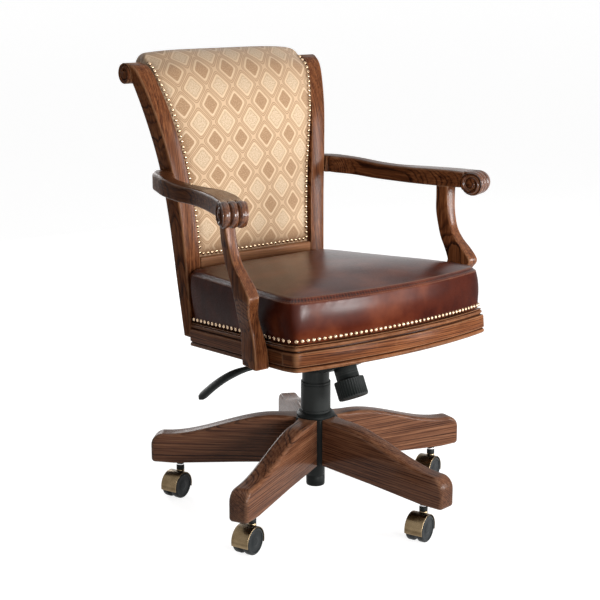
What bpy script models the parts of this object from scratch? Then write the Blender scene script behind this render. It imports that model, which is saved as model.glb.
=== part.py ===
"""Swivel and tilt game-room armchair.

Five wooden legs on twin-wheel casters carry a gas column. A tilt mechanism on the column carries a
wooden seat frame with a boxed cushion, scrolled back posts with a padded back, and two scrolled arms.
Units are metres, +Z is up and the sitter looks along -Y.
The origin is the point on the floor under the swivel axis.
"""
import math

import bmesh
import bpy
from mathutils import Matrix, Vector

# Height of the seat frame over the floor, which the mechanism, back and arms follow
SEAT_HEIGHT = 0.3556

# General fits
TOUCH = 0.0003
RUNNING = 0.0003
ROUND_STEPS = 24
SCROLL_STEPS = 20
BORE_STEPS = 16
PIN_STEPS = 12
SHARP_ANGLE = math.radians(35)

# Base: legs and hub
LEG_COUNT = 5
FIRST_LEG_ANGLE = math.radians(133.9)
LEG_THICKNESS = 0.042
LEG_REACH = 0.355
LEG_UNDERSIDE = 0.077
LEG_TIP_HEIGHT = 0.064
LEG_ROOT_HEIGHT = 0.116
LEG_RISE = 0.016
LEG_FLAT_FOOT = 0.050
LEG_TIP_TOP_RADIUS = 0.026
LEG_TIP_FOOT_RADIUS = 0.008
LEG_TIP_FLAT = 0.001
LEG_OGEE_INNER = 0.080
LEG_OGEE_STEPS = 10
LEG_FOOT_STEPS = 2
LEG_CROWN_STEPS = 5
HUB_APOTHEM = 0.038
HUB_UNDERSIDE = 0.095
HUB_COLLAR_RADIUS = 0.0405
HUB_COLLAR_HEIGHT = 0.010
HUB_CUP_FLOOR = 0.139

# Column
CYLINDER_RADIUS = 0.020
CYLINDER_FOOT = 0.038
CYLINDER_TOP = 0.262
CYLINDER_FLOOR = 0.060
PISTON_RADIUS = 0.0125
PISTON_FOOT = 0.100
PISTON_HEADROOM = 0.002
COVER_LOWER_RADIUS = 0.0315
COVER_LOWER_TOP = 0.269
COVER_UPPER_RADIUS = 0.02875
COVER_UPPER_FOOT = 0.165
COVER_WALL = 0.0020

# Casters
CASTER_INSET = 0.060
CASTER_YAW = math.radians(19.5)
CASTER_TRAIL = 0.015
CASTER_WIDTH = 0.039
CASTER_WEB = 0.011
WHEEL_RADIUS = 0.0275
WHEEL_STEPS = 20
WHEEL_SIDE_GAP = 0.0005
WHEEL_SHOULDER = 0.0032
WHEEL_BORE_DEPTH = 0.0090
AXLE_RADIUS = 0.0030
HOOD_CLEARANCE = 0.0009
HOOD_WALL = 0.0017
HOOD_FRONT_ANGLE = math.radians(193)
HOOD_REAR_ANGLE = math.radians(-18)
HOOD_SEGMENTS = 14
STEM_COLLAR_RADIUS = 0.0085
STEM_COLLAR_HEIGHT = 0.0100
STEM_RING_RADIUS = 0.0066
STEM_PIN_RADIUS = 0.0055
STEM_PIN_LENGTH = 0.034
STEM_PIVOT_RADIUS = 0.0035
STEM_PIVOT_FOOT = 0.034

# Tilt mechanism
TILT_AXIS_Y = -0.040
TILT_AXIS_DROP = 0.0106
HOUSING_DROP = 0.0456
HOUSING_WIDTH = 0.080
HOUSING_REAR = 0.072
HOUSING_REAR_HEIGHT = 0.023
HOUSING_HEIGHT = 0.052
HOUSING_FRONT = -0.124
HOUSING_REAR_CHAMFER = 0.011
SOCKET_DEPTH = 0.040
TILT_SHAFT_RADIUS = 0.006
TILT_PLATE_THICKNESS = 0.006
TILT_PLATE_LENGTH = 0.190
TILT_PLATE_CENTRE = -0.030
EAR_THICKNESS = 0.005
EAR_RADIUS = 0.016
EAR_STEPS = 8
SHAFT_OVERHANG = 0.004

# Tension knob, on an axis that leans forward and down
KNOB_LEAN = math.radians(27)
KNOB_SEAT_Y = -0.0945
KNOB_SEAT_LIFT = 0.008
KNOB_NECK_RADIUS = 0.0240
KNOB_NECK_LENGTH = 0.025
KNOB_GRIP_RADIUS = 0.0315
KNOB_GRIP_LENGTH = 0.040
KNOB_CUP_RADIUS = 0.0200
KNOB_CUP_DEPTH = 0.045
KNOB_SCREW_DEPTH = 0.010
KNOB_CHAMFER = 0.0020
NOSE_HALF_LENGTH = 0.025
SCREW_RADIUS = 0.006
SCREW_IN_HOUSING = 0.020
SPRING_RADIUS = 0.0145
SPRING_WIRE = 0.0022
SPRING_TURNS = 6
SPRING_POINTS_PER_TURN = 10

# Lift lever, on the sitter's right
LEVER_LIFT = 0.016
LEVER_PIVOT_X = -0.033
LEVER_ROOT_X = -0.026
LEVER_TIP_X = -0.297
LEVER_DROOP = 0.0415
LEVER_BEND_X = -0.175
LEVER_ROD_RADIUS = 0.0045
LEVER_PADDLE_WIDTH = 0.026
LEVER_PADDLE_THICKNESS = 0.012
LEVER_SLOT_HEIGHT = 0.0180
LEVER_SLOT_WIDTH = 0.0100
LEVER_SLOT_DEPTH = 0.0190
LEVER_SECTION_POINTS = 8
LEVER_SECTIONS = 12
LEVER_FLARE_LEAD = 0.030
LEVER_FLARE_RATE = 1.6
LEVER_TIP_SHARE = 0.6

# Seat frame, in a frame that is pitched back about the swivel axis
SEAT_PITCH = math.radians(6.6)
RAIL_HEIGHT = 0.050
RAIL_THICKNESS = 0.024
RAIL_STEP = 0.0040
RAIL_BEAD = 0.0090
RAIL_UPPER_BEADS = 0.0170
RAIL_GROOVE = 0.0022
SEAT_FRONT = 0.289
SEAT_CORNER_X = 0.2500
SEAT_CORNER_Y = 0.250
SEAT_CANT_X = 0.2505
SEAT_CANT_Y = 0.211
SEAT_REAR_X = 0.1840
FRONT_BOW_POINTS = 11
REAR_RAIL_DEPTH = 0.024
DECK_THICKNESS = 0.0155

# Seat cushion and its trim
CUSHION_INSET = 0.0070
CUSHION_NAIL_HEIGHT = 0.058
CUSHION_BELLY = 0.0065
CUSHION_BELLY_HEIGHT = 0.095
CUSHION_SEAM_FRONT = 0.129
CUSHION_SEAM_REAR = 0.157
CUSHION_CROWN = 0.029
CUSHION_FULLNESS = 6
CUSHION_CROWN_SHARES = (0.94, 0.80, 0.55, 0.25)
CUSHION_REAR_LEAN = 0.022
CUSHION_REAR_POINTS = 7
TRIM_THICKNESS = 0.0025
TRIM_WIDTH = 0.0100

# Back posts: front line (y, height above the seat frame), outer face x and depth, from foot to scroll
POST_STATIONS = (
    (0.1960, -0.0036, 0.1840, 0.024),
    (0.1985, 0.1044, 0.1868, 0.040),
    (0.2085, 0.2544, 0.1942, 0.048),
    (0.2225, 0.3644, 0.2073, 0.046),
    (0.2445, 0.4594, 0.2247, 0.042),
    (0.2740, 0.5324, 0.2400, 0.034),
    (0.2960, 0.5604, 0.2460, 0.028),
    (0.3225, 0.5679, 0.2500, 0.021),
)
POST_WIDTH = 0.038
POST_SCROLL_RADIUS = 0.0215
POST_SCROLL_PROUD = 0.0030
POST_STEPS_PER_SPAN = 3

# Back: rails, pad and rear panel
LOWER_RAIL_HEIGHT = 0.030
LOWER_RAIL_TOP = 0.1629
LOWER_RAIL_DEPTH = 0.030
LOWER_RAIL_FRONT = 0.2008
CREST_Y = 0.343
CREST_Z = 0.5534
CREST_RAIL_RADIUS = 0.0105
PAD_RECESS = 0.013
PAD_THICKNESS = 0.024
PAD_ROLL_RADIUS = 0.033
PAD_ROLL_START = math.radians(152)
PAD_ROLL_END = math.radians(-105)
PAD_ROLL_WALL = 0.0215
PAD_ROLL_NARROWING = 0.016
PAD_ROLL_CROWN = 0.003
PAD_CROWN_ROWS = 2.0
PAD_CROWN = 0.014
PAD_BORDER = 0.0125
PAD_ACROSS = 9
PAD_ROWS = 10
PAD_ROLL_ROWS = 8
PANEL_THICKNESS = 0.008
PANEL_TOP = 0.5244
BACK_NAIL_INSET = 0.0065
BACK_NAIL_TOP = 0.5624

# Arms: y, inner x, outer x, height above the supports and thickness, from the rear end to the scroll
ARM_UNDERSIDE = 0.3109
ARM_STATIONS = (
    (0.2640, 0.2095, 0.2150, 0.0075, 0.030),
    (0.2540, 0.2085, 0.2275, 0.0045, 0.034),
    (0.2420, 0.2082, 0.2390, 0.0030, 0.036),
    (0.2280, 0.2080, 0.2480, 0.0030, 0.036),
    (0.2000, 0.2130, 0.2578, 0.0020, 0.036),
    (0.1600, 0.2370, 0.2690, -0.0005, 0.036),
    (0.1000, 0.2425, 0.2770, -0.0020, 0.034),
    (0.0400, 0.2440, 0.2815, -0.0010, 0.033),
    (-0.0200, 0.2475, 0.2960, 0.0000, 0.034),
    (-0.0800, 0.2640, 0.3156, 0.0000, 0.035),
    (-0.1150, 0.2770, 0.3290, 0.0000, 0.0345),
    (-0.1350, 0.2860, 0.3340, 0.0000, 0.0330),
)
ARM_STEPS_PER_SPAN = 2
ARM_SCROLL_X = 0.3150
ARM_SCROLL_Y = -0.1430
ARM_SCROLL_RADIUS = 0.0240
ARM_SCROLL_WIDTH = 0.053
ARM_SCROLL_SPLAY = math.radians(22)

# Arm supports: height, inner x at the front, inward shift at the rear, width, front y and rear y
SUPPORT_STATIONS = (
    (0.0179, 0.2420, 0.0090, 0.0330, -0.1570, -0.1010),
    (0.0444, 0.2435, 0.0090, 0.0340, -0.1580, -0.1020),
    (0.0744, 0.2465, 0.0090, 0.0295, -0.1510, -0.0990),
    (0.0994, 0.2530, 0.0085, 0.0260, -0.1475, -0.0960),
    (0.1244, 0.2630, 0.0080, 0.0255, -0.1535, -0.1030),
    (0.1444, 0.2700, 0.0075, 0.0260, -0.1630, -0.1090),
    (0.1564, 0.2740, 0.0070, 0.0265, -0.1700, -0.1120),
    (0.1674, 0.2735, 0.0065, 0.0270, -0.1685, -0.1090),
    (0.1844, 0.2720, 0.0055, 0.0270, -0.1525, -0.1010),
    (0.2024, 0.2720, 0.0050, 0.0245, -0.1325, -0.0900),
    (0.2244, 0.2735, 0.0050, 0.0230, -0.1155, -0.0805),
    (0.2574, 0.2745, 0.0060, 0.0240, -0.1045, -0.0725),
    (0.2894, 0.2760, 0.0070, 0.0255, -0.1000, -0.0715),
    (ARM_UNDERSIDE - TOUCH, 0.2760, 0.0080, 0.0270, -0.0995, -0.0720),
)
SUPPORT_STEPS_PER_SPAN = 2

SIDES = (("left", 1), ("right", -1))


def clear_scene():
    for old in list(bpy.data.objects):
        bpy.data.objects.remove(old, do_unlink=True)


def new_collection(name):
    collection = bpy.data.collections.new(name)
    bpy.context.scene.collection.children.link(collection)
    return collection


def new_material(name, colour, roughness, metallic=0.0):
    material = bpy.data.materials.new(name)
    material.use_nodes = True
    shader = material.node_tree.nodes["Principled BSDF"]
    shader.inputs["Base Color"].default_value = (*colour, 1.0)
    shader.inputs["Roughness"].default_value = roughness
    shader.inputs["Metallic"].default_value = metallic
    return material


clear_scene()
CHAIR = new_collection("game_room_armchair")
CUTTERS = new_collection("cutters")

WALNUT = new_material("walnut", (0.13, 0.055, 0.028), 0.38)
PLYWOOD = new_material("plywood", (0.42, 0.29, 0.17), 0.70)
LEATHER = new_material("burnished_leather", (0.085, 0.022, 0.012), 0.35)
FABRIC = new_material("gold_damask", (0.52, 0.36, 0.19), 0.85)
NAIL_BRASS = new_material("nail_brass", (0.62, 0.42, 0.18), 0.28, 1.0)
HOOD_BRASS = new_material("antique_brass", (0.30, 0.21, 0.10), 0.36, 1.0)
BLACK_METAL = new_material("black_metal", (0.012, 0.013, 0.013), 0.45, 0.3)
BLACK_PLASTIC = new_material("black_plastic", (0.014, 0.015, 0.016), 0.50)
STEEL = new_material("steel", (0.55, 0.55, 0.56), 0.30, 1.0)


def place(obj, parent=None):
    CHAIR.objects.link(obj)
    if parent is not None:
        obj.parent = parent
    return obj


def empty(name, location, parent=None, rotation=(0, 0, 0)):
    marker = bpy.data.objects.new(name, None)
    marker.location = location
    marker.rotation_euler = rotation
    return place(marker, parent)


def part(name, mesh, material, parent=None):
    mesh.materials.clear()
    mesh.materials.append(material)
    mesh.shade_smooth()
    mesh.set_sharp_from_angle(angle=SHARP_ANGLE)
    return place(bpy.data.objects.new(name, mesh), parent)


def finished_mesh(name, bm):
    mesh = bpy.data.meshes.new(name)
    bm.to_mesh(mesh)
    bm.free()
    return mesh


def outline_mesh(name, outline, thickness, matrix):
    """A flat outline extruded both ways from its plane, then turned into place."""
    curve = bpy.data.curves.new(name, "CURVE")
    curve.dimensions = "2D"
    curve.fill_mode = "BOTH"
    curve.extrude = thickness / 2
    spline = curve.splines.new("POLY")
    spline.points.add(len(outline) - 1)
    for point, (x, y) in zip(spline.points, outline):
        point.co = (x, y, 0, 1)
    spline.use_cyclic_u = True
    holder = bpy.data.objects.new(name, curve)
    CUTTERS.objects.link(holder)
    evaluated = holder.evaluated_get(bpy.context.evaluated_depsgraph_get())
    mesh = bpy.data.meshes.new_from_object(evaluated)
    bpy.data.objects.remove(holder, do_unlink=True)
    bpy.data.curves.remove(curve)
    bm = bmesh.new()
    bm.from_mesh(mesh)
    bmesh.ops.remove_doubles(bm, verts=bm.verts, dist=1e-6)
    bmesh.ops.recalc_face_normals(bm, faces=bm.faces)
    bmesh.ops.transform(bm, matrix=matrix, verts=bm.verts)
    bm.to_mesh(mesh)
    bm.free()
    return mesh


def loft_mesh(name, rings):
    """Rings of as many points each, joined in order and closed at both ends."""
    bm = bmesh.new()
    rows = [[bm.verts.new(point) for point in ring] for ring in rings]
    count = len(rings[0])
    for low, high in zip(rows, rows[1:]):
        for i in range(count):
            j = (i + 1) % count
            bm.faces.new((low[i], low[j], high[j], high[i]))
    bm.faces.new(list(reversed(rows[0])))
    bm.faces.new(rows[-1])
    bmesh.ops.recalc_face_normals(bm, faces=bm.faces)
    return finished_mesh(name, bm)


def turned(name, profile, material, parent=None, steps=ROUND_STEPS, closed=False):
    """A profile of (radius, height), down its outer side, turned about its own Z axis."""
    mesh = bpy.data.meshes.new(name)
    edges = [(i, i + 1) for i in range(len(profile) - 1)]
    if closed:
        edges.append((len(profile) - 1, 0))
    mesh.from_pydata([(radius, 0, height) for radius, height in profile], edges, [])
    mesh.materials.append(material)
    obj = place(bpy.data.objects.new(name, mesh), parent)
    turn = obj.modifiers.new("turn", "SCREW")
    turn.steps = steps
    turn.render_steps = steps
    turn.use_merge_vertices = True
    turn.merge_threshold = 1e-5
    turn.use_smooth_shade = True
    return obj


def rod_mesh(name, radius, length, matrix, steps=ROUND_STEPS):
    """A cylinder centred on its matrix, along the matrix's Z axis."""
    bm = bmesh.new()
    bmesh.ops.create_cone(bm, cap_ends=True, segments=steps, radius1=radius, radius2=radius,
                          depth=length, matrix=matrix)
    return finished_mesh(name, bm)


def box_mesh(name, low, high):
    bm = bmesh.new()
    size = Vector(high) - Vector(low)
    centre = (Vector(high) + Vector(low)) / 2
    bmesh.ops.create_cube(bm, size=1.0, matrix=Matrix.Translation(centre) @ Matrix.Diagonal((*size, 1)))
    return finished_mesh(name, bm)


def helper(name, mesh, parent=None):
    obj = bpy.data.objects.new(name, mesh)
    CUTTERS.objects.link(obj)
    obj.parent = parent
    obj.hide_render = True
    obj.display_type = "WIRE"
    return obj


def combine(obj, operation, other):
    cut = obj.modifiers.new(operation.lower(), "BOOLEAN")
    cut.operation = operation
    cut.object = other


def baked_mesh(obj):
    """The mesh of an object with its modifiers applied, in the object's own frame."""
    evaluated = obj.evaluated_get(bpy.context.evaluated_depsgraph_get())
    return bpy.data.meshes.new_from_object(evaluated)


def smooth_rows(stations, steps):
    """Catmull-Rom rows through hand-set stations, with a number of steps in each span."""
    rows = [Vector(station) for station in stations]
    first = rows[0] * 2 - rows[1]
    last = rows[-1] * 2 - rows[-2]
    padded = [first, *rows, last]
    result = []
    for i in range(1, len(padded) - 2):
        before, start, end, after = padded[i - 1:i + 3]
        for k in range(steps):
            t = k / steps
            result.append(0.5 * (2 * start + (end - before) * t
                                 + (2 * before - 5 * start + 4 * end - after) * t ** 2
                                 + (3 * start - before - 3 * end + after) * t ** 3))
    result.append(rows[-1])
    return result


def arc(centre, radius, start, end, count):
    """Points on an arc from one angle to another, ends included."""
    points = []
    for k in range(count + 1):
        angle = start + (end - start) * k / count
        points.append((centre[0] + radius * math.cos(angle), centre[1] + radius * math.sin(angle)))
    return points


def offset_path(path, distance):
    """An open plan path moved to its left side by a distance, with mitred corners."""
    moved = []
    for i, point in enumerate(path):
        before = path[max(i - 1, 0)]
        after = path[min(i + 1, len(path) - 1)]
        into = Vector((point[0] - before[0], point[1] - before[1]))
        out = Vector((after[0] - point[0], after[1] - point[1]))
        if i == 0:
            into = out
        if i == len(path) - 1:
            out = into
        normal_in = Vector((-into.y, into.x)).normalized()
        normal_out = Vector((-out.y, out.x)).normalized()
        mitre = (normal_in + normal_out).normalized()
        shift = mitre * (distance / mitre.dot(normal_in))
        moved.append((point[0] + shift.x, point[1] + shift.y))
    return moved


# Heights over the floor that follow from the seat's height
HOUSING_UNDERSIDE = SEAT_HEIGHT - HOUSING_DROP
HOUSING_TOP = HOUSING_UNDERSIDE + HOUSING_HEIGHT
HOUSING_REAR_TOP = HOUSING_UNDERSIDE + HOUSING_REAR_HEIGHT
SOCKET_ROOF = HOUSING_UNDERSIDE + SOCKET_DEPTH
PISTON_TOP = SOCKET_ROOF - PISTON_HEADROOM
TILT_AXIS_Z = SEAT_HEIGHT - TILT_AXIS_DROP
KNOB_SEAT_Z = HOUSING_UNDERSIDE + KNOB_SEAT_LIFT
LEVER_Z = HOUSING_UNDERSIDE + LEVER_LIFT
LEVER_TIP_Z = LEVER_Z - LEVER_DROOP

# Empties on the joint axes
base = empty("base_frame", (0, 0, 0))
column = empty("column_axis", (0, 0, 0), base)
tilt_axis = empty("tilt_axis", (0, TILT_AXIS_Y, TILT_AXIS_Z), column)
upright = empty("upright_frame", (0, -TILT_AXIS_Y, TILT_AXIS_DROP), tilt_axis)
seat_frame = empty("seat_frame", (0, 0, 0), upright, (-SEAT_PITCH, 0, 0))

AXLE_HEIGHT = WHEEL_RADIUS * math.cos(math.pi / WHEEL_STEPS)
HOOD_RADIUS = WHEEL_RADIUS + HOOD_CLEARANCE + HOOD_WALL
HOOD_TOP = AXLE_HEIGHT + HOOD_RADIUS
CASTER_CIRCLE = LEG_REACH - CASTER_INSET
LEG_TOP = LEG_UNDERSIDE + LEG_ROOT_HEIGHT
HUB_TOP = LEG_TOP + TOUCH


def leg_outline():
    """Side view of a leg, radius across and height up."""
    tip_top = LEG_UNDERSIDE + LEG_TIP_HEIGHT
    foot = LEG_TIP_FOOT_RADIUS
    crown = LEG_TIP_TOP_RADIUS
    ogee_outer = LEG_REACH - crown - LEG_TIP_FLAT
    points = [(HUB_APOTHEM + TOUCH, LEG_UNDERSIDE + LEG_RISE), (LEG_REACH - LEG_FLAT_FOOT, LEG_UNDERSIDE)]
    points += arc((LEG_REACH - foot, LEG_UNDERSIDE + foot), foot, -math.pi / 2, 0, LEG_FOOT_STEPS)
    points += arc((LEG_REACH - crown, tip_top - crown), crown, 0, math.pi / 2, LEG_CROWN_STEPS)
    for k in range(LEG_OGEE_STEPS + 1):
        t = k / LEG_OGEE_STEPS
        rise = t * t * (3 - 2 * t)
        radius = ogee_outer + (LEG_OGEE_INNER - ogee_outer) * t
        points.append((radius, tip_top + (LEG_TOP - tip_top) * rise))
    points.append((HUB_APOTHEM + TOUCH, LEG_TOP))
    return points


def make_legs():
    stand_up = Matrix.Rotation(math.pi / 2, 4, "X")
    mesh = outline_mesh("leg", leg_outline(), LEG_THICKNESS, stand_up)
    depth = STEM_PIN_LENGTH + TOUCH
    socket = rod_mesh("stem_socket", STEM_PIN_RADIUS + TOUCH, 2 * depth,
                      Matrix.Translation((CASTER_CIRCLE, 0, LEG_UNDERSIDE)), BORE_STEPS)
    blank = helper("leg_blank", mesh)
    combine(blank, "DIFFERENCE", helper("stem_socket_cutter", socket))
    drilled = baked_mesh(blank)
    for k in range(LEG_COUNT):
        leg = part(f"leg_{k + 1}", drilled, WALNUT, base)
        leg.rotation_euler.z = FIRST_LEG_ANGLE + k * 2 * math.pi / LEG_COUNT


def make_hub():
    corner = HUB_APOTHEM / math.cos(math.pi / LEG_COUNT)
    height = HUB_TOP - HUB_UNDERSIDE
    middle = Matrix.Translation((0, 0, HUB_UNDERSIDE + height / 2))
    first_corner = FIRST_LEG_ANGLE + math.pi / LEG_COUNT
    outline = arc((0, 0), corner, first_corner, first_corner + 2 * math.pi, LEG_COUNT)[:-1]
    hub = part("base_hub", outline_mesh("base_hub", outline, height, middle), BLACK_METAL, base)
    collar_top = HUB_TOP + HUB_COLLAR_HEIGHT
    sunk = HUB_TOP - HUB_COLLAR_HEIGHT / 2
    collar = turned("collar_blank", [(0, collar_top), (COVER_LOWER_RADIUS + 2 * COVER_WALL, collar_top),
                                     (HUB_COLLAR_RADIUS, collar_top - HUB_COLLAR_HEIGHT / 2),
                                     (HUB_COLLAR_RADIUS, HUB_TOP), (HUB_APOTHEM - COVER_WALL, HUB_TOP),
                                     (HUB_APOTHEM - COVER_WALL, sunk), (0, sunk)], BLACK_METAL)
    above_collar = collar_top + COVER_WALL
    bore = turned("hub_bore", [(0, above_collar), (COVER_LOWER_RADIUS + TOUCH, above_collar),
                               (COVER_LOWER_RADIUS + TOUCH, HUB_CUP_FLOOR),
                               (CYLINDER_RADIUS + TOUCH, HUB_CUP_FLOOR),
                               (CYLINDER_RADIUS + TOUCH, HUB_UNDERSIDE - COVER_WALL),
                               (0, HUB_UNDERSIDE - COVER_WALL)], BLACK_METAL)
    for name, blank, operation in (("collar_join", collar, "UNION"), ("hub_bore_cut", bore, "DIFFERENCE")):
        combine(hub, operation, helper(name, baked_mesh(blank)))
        bpy.data.objects.remove(blank, do_unlink=True)


def make_column():
    bore = PISTON_RADIUS + RUNNING
    turned("gas_cylinder", [(0, CYLINDER_FLOOR), (bore, CYLINDER_FLOOR), (bore, CYLINDER_TOP),
                            (CYLINDER_RADIUS, CYLINDER_TOP), (CYLINDER_RADIUS, CYLINDER_FOOT),
                            (0, CYLINDER_FOOT)], BLACK_METAL, base)
    turned("gas_piston", [(0, PISTON_TOP), (PISTON_RADIUS, PISTON_TOP), (PISTON_RADIUS, PISTON_FOOT),
                          (0, PISTON_FOOT)], STEEL, column)
    tube("column_cover_lower", COVER_LOWER_RADIUS, HUB_CUP_FLOOR + TOUCH, COVER_LOWER_TOP, base)
    tube("column_cover_upper", COVER_UPPER_RADIUS, COVER_UPPER_FOOT, HOUSING_UNDERSIDE - TOUCH, column)


def tube(name, radius, foot, top, parent):
    inner = radius - COVER_WALL
    turned(name, [(inner, top), (radius, top), (radius, foot), (inner, foot)], BLACK_PLASTIC, parent,
           closed=True)


def hood_mesh():
    """The caster's brass body: a shell over both wheels, a web between them and a boss for the stem."""
    outline = arc((-CASTER_TRAIL, AXLE_HEIGHT), HOOD_RADIUS, HOOD_REAR_ANGLE, HOOD_FRONT_ANGLE, HOOD_SEGMENTS)
    stand_up = Matrix.Rotation(math.pi / 2, 4, "X")
    shell = helper("hood_blank", outline_mesh("hood_blank", outline, CASTER_WIDTH, stand_up))
    boss_height = HOOD_TOP - AXLE_HEIGHT
    boss = rod_mesh("hood_boss", STEM_COLLAR_RADIUS, boss_height,
                    Matrix.Translation((0, 0, HOOD_TOP - boss_height / 2)), BORE_STEPS)
    combine(shell, "UNION", helper("hood_boss_join", boss))
    along_axle = Matrix.Translation((-CASTER_TRAIL, 0, AXLE_HEIGHT)) @ Matrix.Rotation(math.pi / 2, 4, "X")
    for side in (-1, 1):
        shift = Matrix.Translation((0, 0, side * (CASTER_WEB + CASTER_WIDTH) / 2))
        pocket = rod_mesh("wheel_pocket", WHEEL_RADIUS + HOOD_CLEARANCE, CASTER_WIDTH, along_axle @ shift)
        combine(shell, "DIFFERENCE", helper("wheel_pocket_cut", pocket))
    bore = rod_mesh("axle_bore", AXLE_RADIUS + TOUCH, CASTER_WIDTH, along_axle, PIN_STEPS)
    combine(shell, "DIFFERENCE", helper("axle_bore_cut", bore))
    length = 2 * (HOOD_TOP - STEM_PIVOT_FOOT + TOUCH)
    pivot = rod_mesh("stem_bore", STEM_PIVOT_RADIUS + RUNNING, length,
                     Matrix.Translation((0, 0, HOOD_TOP)), PIN_STEPS)
    combine(shell, "DIFFERENCE", helper("stem_bore_cut", pivot))
    return baked_mesh(shell)


def wheel_profile():
    inner = 0
    outer = (CASTER_WIDTH - CASTER_WEB) / 2 - WHEEL_SIDE_GAP
    bore = AXLE_RADIUS + RUNNING
    return [(0, outer), (WHEEL_RADIUS - 1.5 * WHEEL_SHOULDER, outer),
            (WHEEL_RADIUS - WHEEL_SHOULDER / 3, outer - WHEEL_SHOULDER / 3),
            (WHEEL_RADIUS, outer - WHEEL_SHOULDER), (WHEEL_RADIUS, WHEEL_SHOULDER / 2),
            (WHEEL_RADIUS - WHEEL_SHOULDER / 2, inner), (bore, inner), (bore, WHEEL_BORE_DEPTH),
            (0, WHEEL_BORE_DEPTH)]


def make_casters():
    hood = hood_mesh()
    axle_half = CASTER_WEB / 2 + WHEEL_BORE_DEPTH - TOUCH
    axle_mesh = rod_mesh("caster_axle", AXLE_RADIUS, 2 * axle_half,
                         Matrix.Rotation(math.pi / 2, 4, "X"), PIN_STEPS)
    collar_foot = HOOD_TOP + TOUCH
    collar_top = collar_foot + STEM_COLLAR_HEIGHT
    ring_top = LEG_UNDERSIDE - TOUCH
    pin_top = LEG_UNDERSIDE + STEM_PIN_LENGTH
    stem_profile = [(0, pin_top), (STEM_PIN_RADIUS, pin_top), (STEM_PIN_RADIUS, ring_top),
                    (STEM_RING_RADIUS, ring_top), (STEM_RING_RADIUS, collar_top),
                    (STEM_COLLAR_RADIUS, collar_top), (STEM_COLLAR_RADIUS, collar_foot),
                    (STEM_PIVOT_RADIUS, collar_foot), (STEM_PIVOT_RADIUS, STEM_PIVOT_FOOT),
                    (0, STEM_PIVOT_FOOT)]
    for k in range(LEG_COUNT):
        number = k + 1
        angle = FIRST_LEG_ANGLE + k * 2 * math.pi / LEG_COUNT
        foot = (CASTER_CIRCLE * math.cos(angle), CASTER_CIRCLE * math.sin(angle), 0)
        swivel = empty(f"caster_swivel_{number}", foot, base, (0, 0, CASTER_YAW))
        axle_line = empty(f"caster_axle_line_{number}", (-CASTER_TRAIL, 0, AXLE_HEIGHT), swivel)
        turned(f"caster_stem_{number}", stem_profile, BLACK_METAL, swivel, BORE_STEPS)
        part(f"caster_hood_{number}", hood, HOOD_BRASS, swivel)
        part(f"caster_axle_{number}", axle_mesh, STEEL, axle_line)
        for side, sign in SIDES:
            wheel = turned(f"caster_wheel_{side}_{number}", wheel_profile(), BLACK_PLASTIC, axle_line,
                           WHEEL_STEPS)
            wheel.location.y = sign * (CASTER_WEB / 2 + WHEEL_SIDE_GAP)
            flat_down = math.pi / WHEEL_STEPS
            wheel.rotation_euler = (-sign * math.pi / 2, flat_down, 0)


def knob_point(distance):
    """A point in the knob's mid plane (y, z), at a distance down its axis from the housing's nose."""
    return (KNOB_SEAT_Y - distance * math.sin(KNOB_LEAN), KNOB_SEAT_Z - distance * math.cos(KNOB_LEAN))


def housing_outline():
    """Side view of the mechanism housing, y across and z up, with a nose square to the knob's axis."""
    along = (math.cos(KNOB_LEAN) * NOSE_HALF_LENGTH, math.sin(KNOB_LEAN) * NOSE_HALF_LENGTH)
    nose_front = (KNOB_SEAT_Y - along[0], KNOB_SEAT_Z + along[1])
    nose_rear = (KNOB_SEAT_Y + along[0], KNOB_SEAT_Z - along[1])
    chamfer = HOUSING_REAR_CHAMFER
    return [(HOUSING_REAR - chamfer, HOUSING_UNDERSIDE), (HOUSING_REAR, HOUSING_UNDERSIDE + chamfer),
            (HOUSING_REAR, HOUSING_REAR_TOP), (TILT_AXIS_Y - EAR_RADIUS / 2, HOUSING_TOP),
            (HOUSING_FRONT, HOUSING_TOP), nose_front, nose_rear,
            (nose_rear[0] + chamfer, HOUSING_UNDERSIDE)]


def make_housing():
    side_on = Matrix(((0, 0, 1, 0), (1, 0, 0, 0), (0, 1, 0, 0), (0, 0, 0, 1)))
    mesh = outline_mesh("mechanism_housing", housing_outline(), HOUSING_WIDTH, side_on)
    housing = part("mechanism_housing", mesh, BLACK_METAL, column)
    socket_height = SOCKET_ROOF - HOUSING_UNDERSIDE
    across = Matrix.Rotation(math.pi / 2, 4, "Y")
    lean = Matrix.Rotation(-KNOB_LEAN, 4, "X")
    nose = Matrix.Translation((0, *knob_point(0)))
    bores = {
        "piston_socket": rod_mesh("piston_socket", PISTON_RADIUS + RUNNING, 2 * socket_height,
                                  Matrix.Translation((0, 0, HOUSING_UNDERSIDE))),
        "shaft_bore": rod_mesh("shaft_bore", TILT_SHAFT_RADIUS + TOUCH, 2 * HOUSING_WIDTH,
                               Matrix.Translation((0, TILT_AXIS_Y, TILT_AXIS_Z)) @ across, BORE_STEPS),
        "screw_bore": rod_mesh("screw_bore", SCREW_RADIUS + TOUCH, 2 * (SCREW_IN_HOUSING + TOUCH),
                               nose @ lean, BORE_STEPS),
        "lever_slot": box_mesh("lever_slot",
                               (-HOUSING_WIDTH, -LEVER_SLOT_WIDTH / 2, LEVER_Z - LEVER_SLOT_HEIGHT / 2),
                               (-HOUSING_WIDTH / 2 + LEVER_SLOT_DEPTH, LEVER_SLOT_WIDTH / 2,
                                LEVER_Z + LEVER_SLOT_HEIGHT / 2)),
    }
    for name, cutter in bores.items():
        combine(housing, "DIFFERENCE", helper(name, cutter))


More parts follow.
